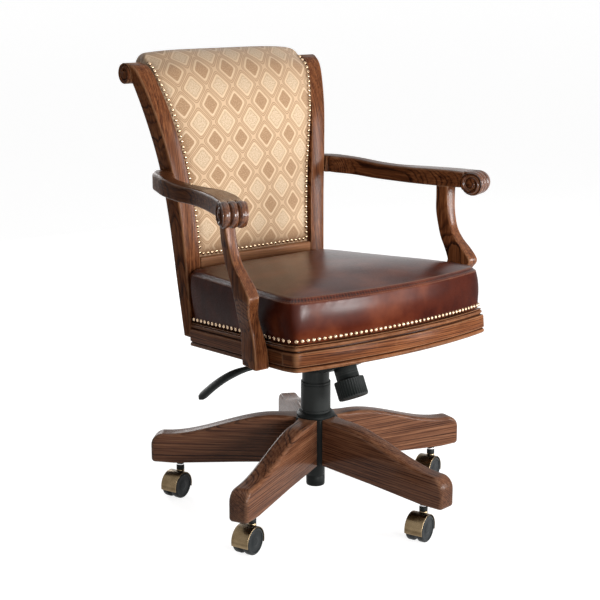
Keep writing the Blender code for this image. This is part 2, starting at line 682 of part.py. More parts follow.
def make_tilt_plate():
    """A plate under the seat deck with two ears that turn on the tilt shaft."""
    half = TILT_PLATE_LENGTH / 2
    deck_foot = RAIL_HEIGHT - DECK_THICKNESS - TOUCH
    plate_foot = deck_foot - TILT_PLATE_THICKNESS - TOUCH
    ear_inner = HOUSING_WIDTH / 2 + TOUCH
    ear_outer = ear_inner + EAR_THICKNESS
    mesh = box_mesh("tilt_plate", (-ear_outer, TILT_PLATE_CENTRE - half, plate_foot),
                    (ear_outer, TILT_PLATE_CENTRE + half, plate_foot + TILT_PLATE_THICKNESS))
    plate = part("tilt_plate", mesh, BLACK_METAL, seat_frame)
    pivot = seat_frame_point(TILT_AXIS_Y, -TILT_AXIS_DROP)
    rim = plate_foot + TILT_PLATE_THICKNESS / 2
    outline = arc(pivot, EAR_RADIUS, math.pi, 2 * math.pi, EAR_STEPS)
    outline += [(pivot[0] + 2 * EAR_RADIUS, rim), (pivot[0] - 2 * EAR_RADIUS, rim)]
    side_on = Matrix(((0, 0, 1, 0), (1, 0, 0, 0), (0, 1, 0, 0), (0, 0, 0, 1)))
    for sign in (-1, 1):
        shift = Matrix.Translation((sign * (ear_inner + ear_outer) / 2, 0, 0))
        ear = outline_mesh("tilt_ear", outline, EAR_THICKNESS, shift @ side_on)
        combine(plate, "UNION", helper("tilt_ear_join", ear, seat_frame))
    across = Matrix.Translation((0, *pivot)) @ Matrix.Rotation(math.pi / 2, 4, "Y")
    bore = rod_mesh("ear_bore", TILT_SHAFT_RADIUS + RUNNING, 2 * HOUSING_WIDTH, across, BORE_STEPS)
    combine(plate, "DIFFERENCE", helper("ear_bore_cut", bore, seat_frame))
    shaft_length = 2 * (ear_outer + SHAFT_OVERHANG)
    shaft = rod_mesh("tilt_shaft", TILT_SHAFT_RADIUS, shaft_length,
                     Matrix.Rotation(math.pi / 2, 4, "Y"), BORE_STEPS)
    part("tilt_shaft", shaft, STEEL, column).location = (0, TILT_AXIS_Y, TILT_AXIS_Z)


def seat_frame_point(y, rise):
    """World y and a rise over the seat's height as distances along and above the pitched seat frame."""
    along = y * math.cos(SEAT_PITCH) - rise * math.sin(SEAT_PITCH)
    above = y * math.sin(SEAT_PITCH) + rise * math.cos(SEAT_PITCH)
    return (along, above)


def make_tension_group():
    """Screw, spring and knob below the housing's nose, on one leaning axis."""
    axis = empty("knob_axis", (0, *knob_point(0)), column, (-KNOB_LEAN, 0, 0))
    grip_foot = -(TOUCH + KNOB_NECK_LENGTH + KNOB_GRIP_LENGTH)
    cup_floor = -(TOUCH + KNOB_CUP_DEPTH)
    grip_top = -(TOUCH + KNOB_NECK_LENGTH)
    screw_foot = cup_floor - KNOB_SCREW_DEPTH
    bore = SCREW_RADIUS + RUNNING
    rim = KNOB_GRIP_RADIUS - KNOB_CHAMFER
    profile = [(0, screw_foot), (bore, screw_foot), (bore, cup_floor), (KNOB_CUP_RADIUS, cup_floor),
               (KNOB_CUP_RADIUS, -TOUCH), (KNOB_NECK_RADIUS, -TOUCH), (KNOB_NECK_RADIUS, grip_top),
               (rim, grip_top), (KNOB_GRIP_RADIUS, grip_top - KNOB_CHAMFER),
               (KNOB_GRIP_RADIUS, grip_foot + KNOB_CHAMFER), (rim, grip_foot), (0, grip_foot)]
    turned("tension_knob", profile, BLACK_PLASTIC, axis)
    screw_low = screw_foot + TOUCH
    screw_profile = [(0, SCREW_IN_HOUSING), (SCREW_RADIUS, SCREW_IN_HOUSING), (SCREW_RADIUS, screw_low),
                     (0, screw_low)]
    turned("tension_screw", screw_profile, STEEL, axis, BORE_STEPS)
    make_spring(axis, -TOUCH, cup_floor + TOUCH)


def make_spring(axis, top, foot):
    curve = bpy.data.curves.new("tension_spring", "CURVE")
    curve.dimensions = "3D"
    curve.bevel_depth = SPRING_WIRE
    curve.bevel_resolution = 1
    curve.use_fill_caps = True
    spline = curve.splines.new("POLY")
    count = SPRING_TURNS * SPRING_POINTS_PER_TURN
    spline.points.add(count)
    high = top - SPRING_WIRE
    low = foot + SPRING_WIRE
    for k, point in enumerate(spline.points):
        angle = 2 * math.pi * k / SPRING_POINTS_PER_TURN
        height = high + (low - high) * k / count
        point.co = (SPRING_RADIUS * math.cos(angle), SPRING_RADIUS * math.sin(angle), height, 1)
    rise = (high - low) / SPRING_TURNS
    print(f"spring: least gap between turns {1000 * (rise - 2 * SPRING_WIRE):.2f} mm")
    holder = helper("spring_wire", curve)
    mesh = baked_mesh(holder)
    bpy.data.objects.remove(holder, do_unlink=True)
    bm = bmesh.new()
    bm.from_mesh(mesh)
    bmesh.ops.remove_doubles(bm, verts=bm.verts, dist=1e-6)
    bmesh.ops.recalc_face_normals(bm, faces=bm.faces)
    bm.to_mesh(mesh)
    bm.free()
    part("tension_spring", mesh, STEEL, axis)


def make_lever():
    """A rod out of the housing's side that droops into a flat paddle."""
    rings = []
    for k in range(LEVER_SECTIONS + 1):
        t = k / LEVER_SECTIONS
        x = LEVER_ROOT_X + (LEVER_TIP_X - LEVER_ROOT_X) * t
        droop = max(0.0, (LEVER_BEND_X - x) / (LEVER_BEND_X - LEVER_TIP_X))
        ease = droop * droop
        z = LEVER_Z + (LEVER_TIP_Z - LEVER_Z) * ease
        flare = max(0.0, (LEVER_BEND_X + LEVER_FLARE_LEAD - x) / (LEVER_BEND_X - LEVER_TIP_X))
        spread = min(1.0, LEVER_FLARE_RATE * flare)
        half_width = LEVER_ROD_RADIUS + (LEVER_PADDLE_WIDTH / 2 - LEVER_ROD_RADIUS) * spread
        half_height = LEVER_ROD_RADIUS + (LEVER_PADDLE_THICKNESS / 2 - LEVER_ROD_RADIUS) * spread
        if k == LEVER_SECTIONS:
            half_width *= LEVER_TIP_SHARE
            half_height *= LEVER_TIP_SHARE
        turns = [2 * math.pi * i / LEVER_SECTION_POINTS for i in range(LEVER_SECTION_POINTS)]
        away = x - LEVER_PIVOT_X
        above = z - LEVER_Z
        rings.append([(away, half_width * math.cos(turn), above + half_height * math.sin(turn))
                      for turn in turns])
    axis = empty("lever_axis", (LEVER_PIVOT_X, 0, LEVER_Z), column)
    part("lift_lever", loft_mesh("lift_lever", rings), BLACK_PLASTIC, axis)


def seat_front_path():
    """Plan of the bowed front between the two front corners, from -X to +X."""
    rise = SEAT_FRONT - SEAT_CORNER_Y
    radius = (SEAT_CORNER_X ** 2 + rise ** 2) / (2 * rise)
    half = math.asin(SEAT_CORNER_X / radius)
    middle = (0, radius - SEAT_FRONT)
    return arc(middle, radius, -math.pi / 2 - half, -math.pi / 2 + half, FRONT_BOW_POINTS - 1)


def rear_along(y, above):
    """Distance along the seat frame of the upright plane at world y, at a height above the frame."""
    return (y - above * math.sin(SEAT_PITCH)) / math.cos(SEAT_PITCH)


REAR_Y = POST_STATIONS[0][0] - TOUCH


def seat_plan():
    """The seat's outer edge in plan, from the right-hand rear end round the front to the left-hand one."""
    rear = rear_along(REAR_Y, 0)
    right = [(-SEAT_REAR_X, rear), (-SEAT_CANT_X, -SEAT_CANT_Y)]
    left = [(SEAT_CANT_X, -SEAT_CANT_Y), (SEAT_REAR_X, rear)]
    return right + seat_front_path() + left


def rail_section():
    """Outline of a rail as (inset, height): lower bead, face, two upper beads, ledge and inner side."""
    face_top = RAIL_HEIGHT - RAIL_UPPER_BEADS
    middle = RAIL_HEIGHT - RAIL_UPPER_BEADS / 2
    groove = RAIL_GROOVE
    step = RAIL_STEP
    return [(0, 0), (0, RAIL_BEAD), (groove, RAIL_BEAD + groove / 2), (0, RAIL_BEAD + groove), (0, face_top),
            (step, face_top + groove), (step - groove / 2, middle - groove / 2), (step + groove / 2, middle),
            (step, middle + groove / 2), (step, RAIL_HEIGHT), (RAIL_THICKNESS, RAIL_HEIGHT),
            (RAIL_THICKNESS, 0)]


def end_at_rear(ring):
    """Moves the last ring of a side rail along the rail until it lies on the posts' upright plane."""
    slope = (SEAT_REAR_X - SEAT_CANT_X) / (rear_along(REAR_Y, 0) + SEAT_CANT_Y)
    moved = []
    for x, y, z in ring:
        target = rear_along(REAR_Y, z)
        side = math.copysign(1, x)
        moved.append((x + side * slope * (target - y), target, z))
    return moved


def make_seat_frame():
    plan = seat_plan()
    full = {inset: offset_path(plan, inset) for inset, height in rail_section()}
    section = rail_section()
    rings = [[(full[inset][i][0], full[inset][i][1], height) for inset, height in section]
             for i in range(len(plan))]
    rings[0] = end_at_rear(rings[0])
    rings[-1] = end_at_rear(rings[-1])
    front = [list(ring) for ring in rings[1:-1]]
    front[0] = nudge(front[0], front[1])
    front[-1] = nudge(front[-1], front[-2])
    part("seat_front_rail", loft_mesh("seat_front_rail", front), WALNUT, seat_frame)
    right = loft_mesh("seat_right_rail", [rings[0], nudge(rings[1], rings[0])])
    left = loft_mesh("seat_left_rail", [rings[-1], nudge(rings[-2], rings[-1])])
    part("seat_right_rail", right, WALNUT, seat_frame)
    part("seat_left_rail", left, WALNUT, seat_frame)
    make_rear_rail()
    make_deck(plan)


def nudge(ring, towards):
    """A ring moved half a joint gap towards its neighbour."""
    gap = TOUCH / 2
    here = sum((Vector(p) for p in ring), Vector()) / len(ring)
    there = sum((Vector(p) for p in towards), Vector()) / len(towards)
    shift = (there - here).normalized() * gap
    return [tuple(Vector(p) + shift) for p in ring]


def side_inner_x(along, inset):
    """Half width between the side rails' inner faces at a distance along the seat frame."""
    rear = rear_along(REAR_Y, 0)
    slope = (SEAT_REAR_X - SEAT_CANT_X) / (rear + SEAT_CANT_Y)
    return SEAT_REAR_X + slope * (along - rear) - inset * math.sqrt(1 + slope * slope)


def make_rear_rail():
    rear = rear_along(REAR_Y, RAIL_HEIGHT) - TOUCH
    front = rear - REAR_RAIL_DEPTH
    inset = RAIL_THICKNESS + TOUCH
    outline = [(-side_inner_x(front, inset), front), (side_inner_x(front, inset), front),
               (side_inner_x(rear, inset), rear), (-side_inner_x(rear, inset), rear)]
    raise_up = Matrix.Translation((0, 0, RAIL_HEIGHT / 2))
    rail = outline_mesh("seat_rear_rail", outline, RAIL_HEIGHT, raise_up)
    part("seat_rear_rail", rail, WALNUT, seat_frame)


def make_deck(plan):
    rear = rear_along(REAR_Y, RAIL_HEIGHT) - REAR_RAIL_DEPTH - 2 * TOUCH
    inset = RAIL_THICKNESS + TOUCH
    line = offset_path(plan, inset)[1:-1]
    outline = [(-side_inner_x(rear, inset), rear), *line, (side_inner_x(rear, inset), rear)]
    raise_up = Matrix.Translation((0, 0, RAIL_HEIGHT - DECK_THICKNESS / 2))
    part("seat_deck", outline_mesh("seat_deck", outline, DECK_THICKNESS, raise_up), PLYWOOD, seat_frame)


def cushion_line(inset, above):
    """Plan of the cushion at a height: the seat's edge drawn in, closed by a straight rear edge."""
    plan = offset_path(seat_plan(), inset)
    rear_y = REAR_Y + CUSHION_REAR_LEAN * (above - RAIL_HEIGHT)
    rear = rear_along(rear_y, above)
    half = side_inner_x(rear, inset)
    around = [(-half, rear), *plan[1:-1], (half, rear)]
    last = CUSHION_REAR_POINTS - 1
    across = [(half * (1 - 2 * k / last), rear) for k in range(1, last)]
    return around + across


def seam_height(along):
    """The seam climbs a little from the front of the seat to the back."""
    rear = rear_along(REAR_Y, CUSHION_SEAM_REAR)
    share = (along + SEAT_FRONT) / (rear + SEAT_FRONT)
    return CUSHION_SEAM_FRONT + (CUSHION_SEAM_REAR - CUSHION_SEAM_FRONT) * share


def make_cushion():
    foot = RAIL_HEIGHT + TOUCH
    nails_top = CUSHION_NAIL_HEIGHT + TRIM_WIDTH / 2
    walls = ((CUSHION_INSET, foot), (CUSHION_INSET, nails_top),
             (CUSHION_INSET - CUSHION_BELLY, CUSHION_BELLY_HEIGHT))
    rings = [[(x, y, above) for x, y in cushion_line(inset, above)] for inset, above in walls]
    seam = cushion_line(CUSHION_INSET, CUSHION_SEAM_REAR)
    rings.append([(x, y, seam_height(y)) for x, y in seam])
    middle_y = sum(y for x, y in seam) / len(seam)
    for share in CUSHION_CROWN_SHARES:
        lift = CUSHION_CROWN * (1 - share ** CUSHION_FULLNESS)
        rings.append([(x * share, middle_y + (y - middle_y) * share,
                       seam_height(middle_y + (y - middle_y) * share) + lift) for x, y in seam])
    part("seat_cushion", loft_mesh("seat_cushion", rings), LEATHER, seat_frame)


def make_seat_trim():
    """A strip of nail heads round the front and sides of the cushion, just above the rails."""
    low = CUSHION_NAIL_HEIGHT - TRIM_WIDTH / 2
    high = CUSHION_NAIL_HEIGHT + TRIM_WIDTH / 2
    inner = CUSHION_INSET - TOUCH
    outer = inner - TRIM_THICKNESS
    near = offset_path(seat_plan(), inner)
    far = offset_path(seat_plan(), outer)
    rear = rear_along(REAR_Y, high) - TOUCH
    near[0], near[-1] = (-side_inner_x(rear, inner), rear), (side_inner_x(rear, inner), rear)
    far[0], far[-1] = (-side_inner_x(rear, outer), rear), (side_inner_x(rear, outer), rear)
    rings = [[(*a, low), (*b, low), (*b, high), (*a, high)] for a, b in zip(near, far)]
    part("seat_nail_trim", loft_mesh("seat_nail_trim", rings), NAIL_BRASS, seat_frame)


def post_rows():
    """Rows of a post: front point, rear point (y, z) and outer face x, square to the front line."""
    stations = [Vector(row) for row in smooth_rows(POST_STATIONS, POST_STEPS_PER_SPAN)]
    rows = []
    for i, row in enumerate(stations):
        before = stations[max(i - 1, 0)]
        after = stations[min(i + 1, len(stations) - 1)]
        tangent = Vector((after[0] - before[0], after[1] - before[1])).normalized()
        if i == 0:
            tangent = Vector((0, 1))
        back = Vector((tangent.y, -tangent.x))
        rows.append(((row[0], row[1]), (row[0] + back.x * row[3], row[1] + back.y * row[3]), row[2]))
    return rows


def make_posts():
    scroll_y, scroll_top = POST_STATIONS[-1][:2]
    centre_z = scroll_top - POST_SCROLL_RADIUS
    outer = POST_STATIONS[-1][2]
    for side, sign in SIDES:
        rings = []
        for front, rear, x in post_rows():
            inner = x - POST_WIDTH
            rings.append([(sign * inner, *front), (sign * x, *front), (sign * x, *rear),
                          (sign * inner, *rear)])
        post = part(f"back_post_{side}", loft_mesh(f"back_post_{side}", rings), WALNUT, upright)
        width = POST_WIDTH + POST_SCROLL_PROUD
        middle = outer - POST_WIDTH + width / 2
        centre = Matrix.Translation((sign * middle, scroll_y, centre_z))
        place_scroll = centre @ Matrix.Rotation(math.pi / 2, 4, "Y")
        scroll = rod_mesh("post_scroll", POST_SCROLL_RADIUS, width, place_scroll, SCROLL_STEPS)
        combine(post, "UNION", helper(f"post_scroll_{side}", scroll, upright))


def post_inner_x(height):
    """Half width between the posts' inner faces at a height, read off their stations."""
    rows = [(front[1], x - POST_WIDTH) for front, rear, x in post_rows()]
    for (low, x_low), (high, x_high) in zip(rows, rows[1:]):
        if low <= height <= high:
            return x_low + (x_high - x_low) * (height - low) / (high - low)
    return rows[-1][1]


def post_outer_x(y, height):
    """Half width over the posts' outer faces at a height, between their front and rear edges."""
    fronts = [(*front, x) for front, rear, x in post_rows()]
    rears = [(*rear, x) for front, rear, x in post_rows()]
    front_y, front_x = at_height(fronts, height)
    rear_y, rear_x = at_height(rears, height)
    share = (y - front_y) / (rear_y - front_y)
    return front_x + (rear_x - front_x) * share


def at_height(rows, height):
    """The y and x of an edge at a height, from its points (y, z, x) in rising order."""
    for low, high in zip(rows, rows[1:]):
        if low[1] <= height <= high[1]:
            share = (height - low[1]) / (high[1] - low[1])
            return (low[0] + (high[0] - low[0]) * share, low[2] + (high[2] - low[2]) * share)
    return (rows[-1][0], rows[-1][2])


def pad_path():
    """Rows of the pad's edge in side view: y, z, half width and outward normal, from foot to crest roll."""
    foot = LOWER_RAIL_TOP + TOUCH
    roll_start = CREST_Z + PAD_ROLL_RADIUS * math.sin(PAD_ROLL_START)
    border = foot + PAD_BORDER
    heights = [foot] + [border + (roll_start - border) * k / (PAD_ROWS - 1) for k in range(PAD_ROWS - 1)]
    path = []
    for k, z in enumerate(heights):
        slope = (front_line_y(z + PAD_RECESS) - front_line_y(z - PAD_RECESS)) / (2 * PAD_RECESS)
        normal = Vector((-1, slope if k else 0)).normalized()
        path.append((front_line_y(z) + PAD_RECESS, z, post_inner_x(z) - 2 * TOUCH, normal))
    widest = path[-1][2]
    for k in range(PAD_ROLL_ROWS + 1):
        angle = PAD_ROLL_START + (PAD_ROLL_END - PAD_ROLL_START) * k / PAD_ROLL_ROWS
        normal = Vector((math.cos(angle), math.sin(angle)))
        point = Vector((CREST_Y, CREST_Z)) + normal * PAD_ROLL_RADIUS
        narrowing = PAD_ROLL_NARROWING * min(1.0, k / 2)
        path.append((point.x, point.y, widest - narrowing, normal))
    return path


def front_line_y(height):
    """World y of the posts' front line at a height."""
    stations = smooth_rows(POST_STATIONS, POST_STEPS_PER_SPAN)
    for low, high in zip(stations, stations[1:]):
        if low[1] <= height <= high[1]:
            return low[0] + (high[0] - low[0]) * (height - low[1]) / (high[1] - low[1])
    return stations[-1][0]


def make_pad():
    rings = []
    for i, (y, z, half, normal) in enumerate(pad_path()):
        on_roll = i >= PAD_ROWS
        wall = PAD_ROLL_WALL if on_roll else PAD_THICKNESS
        crown = PAD_ROLL_CROWN if on_roll else PAD_CROWN * min(1.0, max(0.0, (i - 1) / PAD_CROWN_ROWS))
        ring = [(-half, y, z)]
        for k in range(PAD_ACROSS):
            u = -1 + 2 * k / (PAD_ACROSS - 1)
            lift = crown * (1 - u ** 4)
            ring.append((u * (half - PAD_BORDER), y + normal.x * lift, z + normal.y * lift))
        ring.append((half, y, z))
        back = (y - normal.x * wall, z - normal.y * wall)
        ring += [(half, *back), (0, *back), (-half, *back)]
        rings.append(ring)
    part("back_pad", loft_mesh("back_pad", rings), FABRIC, upright)


def make_back_panel():
    path = [row for row in pad_path()[:PAD_ROWS] if row[1] < PANEL_TOP]
    inner = PAD_THICKNESS + TOUCH
    outer = inner + PANEL_THICKNESS
    rings = []
    for y, z, half, normal in path:
        near = (y - normal.x * inner, z - normal.y * inner)
        far = (y - normal.x * outer, z - normal.y * outer)
        rings.append([(-half, *near), (half, *near), (half, *far), (-half, *far)])
    part("back_panel", loft_mesh("back_panel", rings), FABRIC, upright)


def make_back_rails():
    half = post_inner_x(LOWER_RAIL_TOP - LOWER_RAIL_HEIGHT) - TOUCH
    low = (-half, LOWER_RAIL_FRONT, LOWER_RAIL_TOP - LOWER_RAIL_HEIGHT)
    high = (half, LOWER_RAIL_FRONT + LOWER_RAIL_DEPTH, LOWER_RAIL_TOP)
    part("back_lower_rail", box_mesh("back_lower_rail", low, high), WALNUT, upright)
    half = post_inner_x(POST_STATIONS[-3][1]) - TOUCH
    across = Matrix.Translation((0, CREST_Y, CREST_Z)) @ Matrix.Rotation(math.pi / 2, 4, "Y")
    crest = rod_mesh("back_crest_rail", CREST_RAIL_RADIUS, 2 * half, across, PIN_STEPS)
    part("back_crest_rail", crest, WALNUT, upright)


def make_back_trim():
    """A strip of nail heads up both sides of the pad and along its foot, in one piece."""
    path = [row for row in pad_path()[1:PAD_ROWS] if row[1] < BACK_NAIL_TOP]
    foot_z = LOWER_RAIL_TOP + TOUCH + BACK_NAIL_INSET
    foot = (front_line_y(foot_z) + PAD_RECESS, foot_z, post_inner_x(foot_z) - 2 * TOUCH, path[0][3])
    one_side = [(half - BACK_NAIL_INSET, y, z, normal) for y, z, half, normal in [foot, *path]]
    line = [(-x, y, z, normal) for x, y, z, normal in reversed(one_side)] + one_side
    half_width = TRIM_WIDTH / 2
    rings = []
    for i, (x, y, z, normal) in enumerate(line):
        front = Vector((0, normal.x, normal.y))
        before = Vector(line[max(i - 1, 0)][:3])
        after = Vector(line[min(i + 1, len(line) - 1)][:3])
        across = front.cross((after - before).normalized()).normalized()
        low = Vector((x, y, z)) + front * TOUCH
        high = low + front * TRIM_THICKNESS
        rings.append([low - across * half_width, low + across * half_width,
                      high + across * half_width, high - across * half_width])
    part("back_nail_trim", loft_mesh("back_nail_trim", rings), NAIL_BRASS, upright)


def make_arms():
    for side, sign in SIDES:
        rings = []
        for y, inner, outer, lift, thickness in smooth_columns(ARM_STATIONS, ARM_STEPS_PER_SPAN):
            foot = ARM_UNDERSIDE + lift
            top = foot + thickness
            inner_foot = inner
            inner_top = inner
            if y > front_line_y(foot):
                inner_foot = post_outer_x(y, foot) + TOUCH
                inner_top = post_outer_x(y, top) + TOUCH
            rings.append([(sign * inner_foot, y, foot), (sign * outer, y, foot), (sign * outer, y, top),
                          (sign * inner_top, y, top)])
        arm = part(f"arm_{side}", loft_mesh(f"arm_{side}", rings), WALNUT, upright)
        top = ARM_UNDERSIDE + ARM_STATIONS[-1][3] + ARM_STATIONS[-1][4]
        turn = Matrix.Rotation(sign * ARM_SCROLL_SPLAY, 4, "Z") @ Matrix.Rotation(math.pi / 2, 4, "Y")
        centre = Matrix.Translation((sign * ARM_SCROLL_X, ARM_SCROLL_Y, top - ARM_SCROLL_RADIUS))
        scroll = rod_mesh("arm_scroll", ARM_SCROLL_RADIUS, ARM_SCROLL_WIDTH, centre @ turn, SCROLL_STEPS)
        combine(arm, "UNION", helper(f"arm_scroll_{side}", scroll, upright))


def smooth_columns(stations, steps):
    """Smooth rows of stations with any number of values, as plain lists."""
    columns = []
    for column_values in zip(*stations):
        pairs = [(value, 0.0) for value in column_values]
        columns.append([row[0] for row in smooth_rows(pairs, steps)])
    return list(zip(*columns))


def make_supports():
    for side, sign in SIDES:
        rings = []
        for z, inner, shift, width, front, rear in smooth_columns(SUPPORT_STATIONS, SUPPORT_STEPS_PER_SPAN):
            rings.append([(sign * inner, front, z), (sign * (inner + width), front, z),
                          (sign * (inner + width - shift), rear, z), (sign * (inner - shift), rear, z)])
        part(f"arm_support_{side}", loft_mesh(f"arm_support_{side}", rings), WALNUT, upright)


make_legs()
make_hub()
make_column()
make_casters()
make_housing()
make_tilt_plate()
make_tension_group()
make_lever()
make_seat_frame()
make_cushion()
make_seat_trim()
make_posts()
make_pad()
make_back_panel()
make_back_rails()
make_back_trim()
make_arms()
make_supports()
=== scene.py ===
"""Looks of a swivel and tilt game-room armchair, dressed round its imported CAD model.

Wood, leather, fabric, brass and black pieces stand where the CAD nodes are and ride on the same bodies.
Units are metres, +Z is up and the sitter looks along -Y.
"""
import math

import bmesh
import bpy
import numpy as np
from mathutils import Matrix, Vector
from mathutils.bvhtree import BVHTree


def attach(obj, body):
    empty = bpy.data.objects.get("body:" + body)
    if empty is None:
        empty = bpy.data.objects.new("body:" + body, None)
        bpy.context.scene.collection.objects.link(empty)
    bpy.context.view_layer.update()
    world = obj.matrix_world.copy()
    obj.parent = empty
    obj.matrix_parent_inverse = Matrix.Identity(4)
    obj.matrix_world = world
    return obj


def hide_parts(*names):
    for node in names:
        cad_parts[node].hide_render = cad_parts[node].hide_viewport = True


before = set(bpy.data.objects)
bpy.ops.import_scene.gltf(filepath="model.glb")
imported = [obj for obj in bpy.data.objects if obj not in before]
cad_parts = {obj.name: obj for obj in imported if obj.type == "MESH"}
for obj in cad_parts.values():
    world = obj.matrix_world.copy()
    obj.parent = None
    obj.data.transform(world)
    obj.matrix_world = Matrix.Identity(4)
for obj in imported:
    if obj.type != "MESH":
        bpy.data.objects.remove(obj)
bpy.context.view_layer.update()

SIDES = (("left", 1), ("right", -1))
DRAWS = np.random.default_rng(7)

# Sizes that repeat the CAD model
TOUCH = 0.0003
LEG_COUNT = 5
FIRST_LEG_ANGLE = math.radians(133.9)
LEG_THICKNESS = 0.042
LEG_REACH = 0.355
LEG_UNDERSIDE = 0.077
LEG_TIP_TOP = 0.141
LEG_TOP = 0.193
LEG_RISE = 0.016
LEG_RISE_START = 0.305
LEG_OGEE = (0.328, 0.080)
LEG_ROOT = 0.0383
CASTER_CIRCLE = 0.295
CASTER_YAW = math.radians(19.5)
CASTER_TRAIL = 0.015
CASTER_WIDTH = 0.039
CASTER_WEB = 0.011
WHEEL_RADIUS = 0.0275
AXLE_HEIGHT = 0.027161
HOOD_RADIUS = 0.0301
HOOD_WALL = 0.0017
HOOD_ARC = (math.radians(-18), math.radians(193))
HOOD_TOP = AXLE_HEIGHT + HOOD_RADIUS
KNOB_LEAN = math.radians(27)
KNOB_SEAT = (0, -0.0945, 0.318)
SEAT_PITCH = math.radians(6.6)
SEAT_HEIGHT = 0.3556
RAIL_HEIGHT = 0.050
RAIL_THICKNESS = 0.024
SEAT_FRONT = 0.289
SEAT_CORNER = (0.2500, 0.250)
SEAT_CANT = (0.2505, 0.211)
SEAT_REAR_X = 0.1840
REAR_Y = 0.1957
CUSHION_INSET = 0.0070
NAIL_HEIGHT = 0.058
SEAM_FRONT = 0.130
SEAM_REAR = 0.158
POST_WIDTH = 0.038
POST_STATIONS = (
    (0.1960, 0.3520, 0.1840, 0.024),
    (0.1985, 0.4600, 0.1868, 0.040),
    (0.2085, 0.6100, 0.1942, 0.048),
    (0.2225, 0.7200, 0.2073, 0.046),
    (0.2445, 0.8150, 0.2247, 0.042),
    (0.2740, 0.8880, 0.2400, 0.034),
    (0.2960, 0.9160, 0.2460, 0.028),
    (0.3225, 0.9235, 0.2500, 0.021),
)
POST_SCROLL_RADIUS = 0.0215
LOWER_RAIL_TOP = 0.5185
CREST = (0.343, 0.909)
PAD_THICKNESS = 0.024
PAD_ROLL_RADIUS = 0.033
PAD_ROLL_WALL = 0.0215
PAD_ROLL_NARROWING = 0.005
PAD_FRONT_TOP = 0.908
PAD_WIDEST = 0.896
ROLL_ARC = (math.radians(141), math.radians(-104))
PAD_BORDER = 0.0125
PANEL_TOP = 0.880
BACK_NAIL_INSET = 0.0065
BACK_NAIL_TOP = 0.921
ARM_UNDERSIDE = 0.6665
ARM_STATIONS = (
    (0.2640, 0.2095, 0.2150, 0.0075, 0.030),
    (0.2540, 0.2085, 0.2275, 0.0045, 0.034),
    (0.2420, 0.2082, 0.2390, 0.0030, 0.036),
    (0.2280, 0.2080, 0.2480, 0.0030, 0.036),
    (0.2000, 0.2130, 0.2578, 0.0020, 0.036),
    (0.1600, 0.2370, 0.2690, -0.0005, 0.036),
    (0.1000, 0.2425, 0.2770, -0.0020, 0.034),
    (0.0400, 0.2440, 0.2815, -0.0010, 0.033),
    (-0.0200, 0.2475, 0.2960, 0.0000, 0.034),
    (-0.0800, 0.2640, 0.3156, 0.0000, 0.035),
    (-0.1150, 0.2770, 0.3290, 0.0000, 0.0345),
    (-0.1350, 0.2860, 0.3340, 0.0000, 0.0330),
)
ARM_SCROLL = (0.3150, -0.1430, 0.6755)
ARM_SCROLL_RADIUS = 0.0240
ARM_SCROLL_WIDTH = 0.053
ARM_SCROLL_SPLAY = math.radians(22)
SUPPORT_STATIONS = (
    (0.3735, 0.2420, 0.0090, 0.0330, -0.1570, -0.1010),
    (0.4000, 0.2435, 0.0090, 0.0340, -0.1580, -0.1020),
    (0.4300, 0.2465, 0.0090, 0.0295, -0.1510, -0.0990),
    (0.4550, 0.2530, 0.0085, 0.0260, -0.1475, -0.0960),
    (0.4800, 0.2630, 0.0080, 0.0255, -0.1535, -0.1030),
    (0.5000, 0.2700, 0.0075, 0.0260, -0.1630, -0.1090),
    (0.5120, 0.2740, 0.0070, 0.0265, -0.1700, -0.1120),
    (0.5230, 0.2735, 0.0065, 0.0270, -0.1685, -0.1090),
    (0.5400, 0.2720, 0.0055, 0.0270, -0.1525, -0.1010),
    (0.5580, 0.2720, 0.0050, 0.0245, -0.1325, -0.0900),
    (0.5800, 0.2735, 0.0050, 0.0230, -0.1155, -0.0805),
    (0.6130, 0.2745, 0.0060, 0.0240, -0.1045, -0.0725),
    (0.6450, 0.2760, 0.0070, 0.0255, -0.1000, -0.0715),
    (0.6662, 0.2760, 0.0080, 0.0270, -0.0995, -0.0720),
)

# Sizes of the dressing
NAIL_RADIUS = 0.0041
NAIL_PITCH = 0.0113
SIDE_NAIL_PITCH = 0.0180
NAIL_DOME = 0.0027
NAIL_STEPS = 14
NAIL_RINGS = ((1.0, -0.0006), (1.0, 0.0002), (0.94, 0.0009), (0.78, 0.00175), (0.52, 0.0024), (0.24, 0.00273))
NAIL_LEAN = 0.06
RAIL_CORNER_SPREAD = 0.007
CUSHION_CORNER_SPREAD = 0.011
CUSHION_TOP_SPREAD = 0.012
CUSHION_SHOULDER = 0.0635
CUSHION_STATIONS = ((CUSHION_INSET, RAIL_HEIGHT + TOUCH), (CUSHION_INSET, CUSHION_SHOULDER), (0.0036, 0.078),
                    (0.0014, 0.095), (0.0010, 0.112), (0.0024, 0.124))
CUSHION_STEPS = 260
CUSHION_REAR_LEAN = 0.022
CUSHION_CROWN = 0.025
CUSHION_CROWN_SHARES = (0.965, 0.90, 0.80, 0.65, 0.45, 0.22)
SEAM_INSET = 0.0060
SEAM_LIFT = 0.003
STITCH_LENGTH = 0.0040
STITCH_PITCH = 0.0056
STITCH_ROWS = ((0.0062, 0.0035), (-0.0030, -0.0062))
THREAD_RADIUS = 0.0005
THREAD_STEPS = 6
THREAD_RINGS = ((0.0, 0.35), (0.18, 1.0), (0.82, 1.0), (1.0, 0.35))
CUSHION_VOXEL = 0.005
SEAT_PRESSURE = 6.0
SEAT_SWELL = 0.016
PAD_PRESSURE = 3.0
PAD_SWELL = 0.010
RAIL_POLISH_HEIGHT = 0.410
RAIL_POLISH = 0.35
SUPPORT_POLISH = 1.6
SCROLL_POLISH = 2.4
SUPPORT_INNER_SIDE = 0.245
# Where the leather is lightened by painted highlight and sheen, and how far it spreads
PAINTED_HIGHLIGHT_CORNER = (-0.215, -0.235)
PAINTED_SHEEN_AND_BURNISH_SHIFT = 0.015
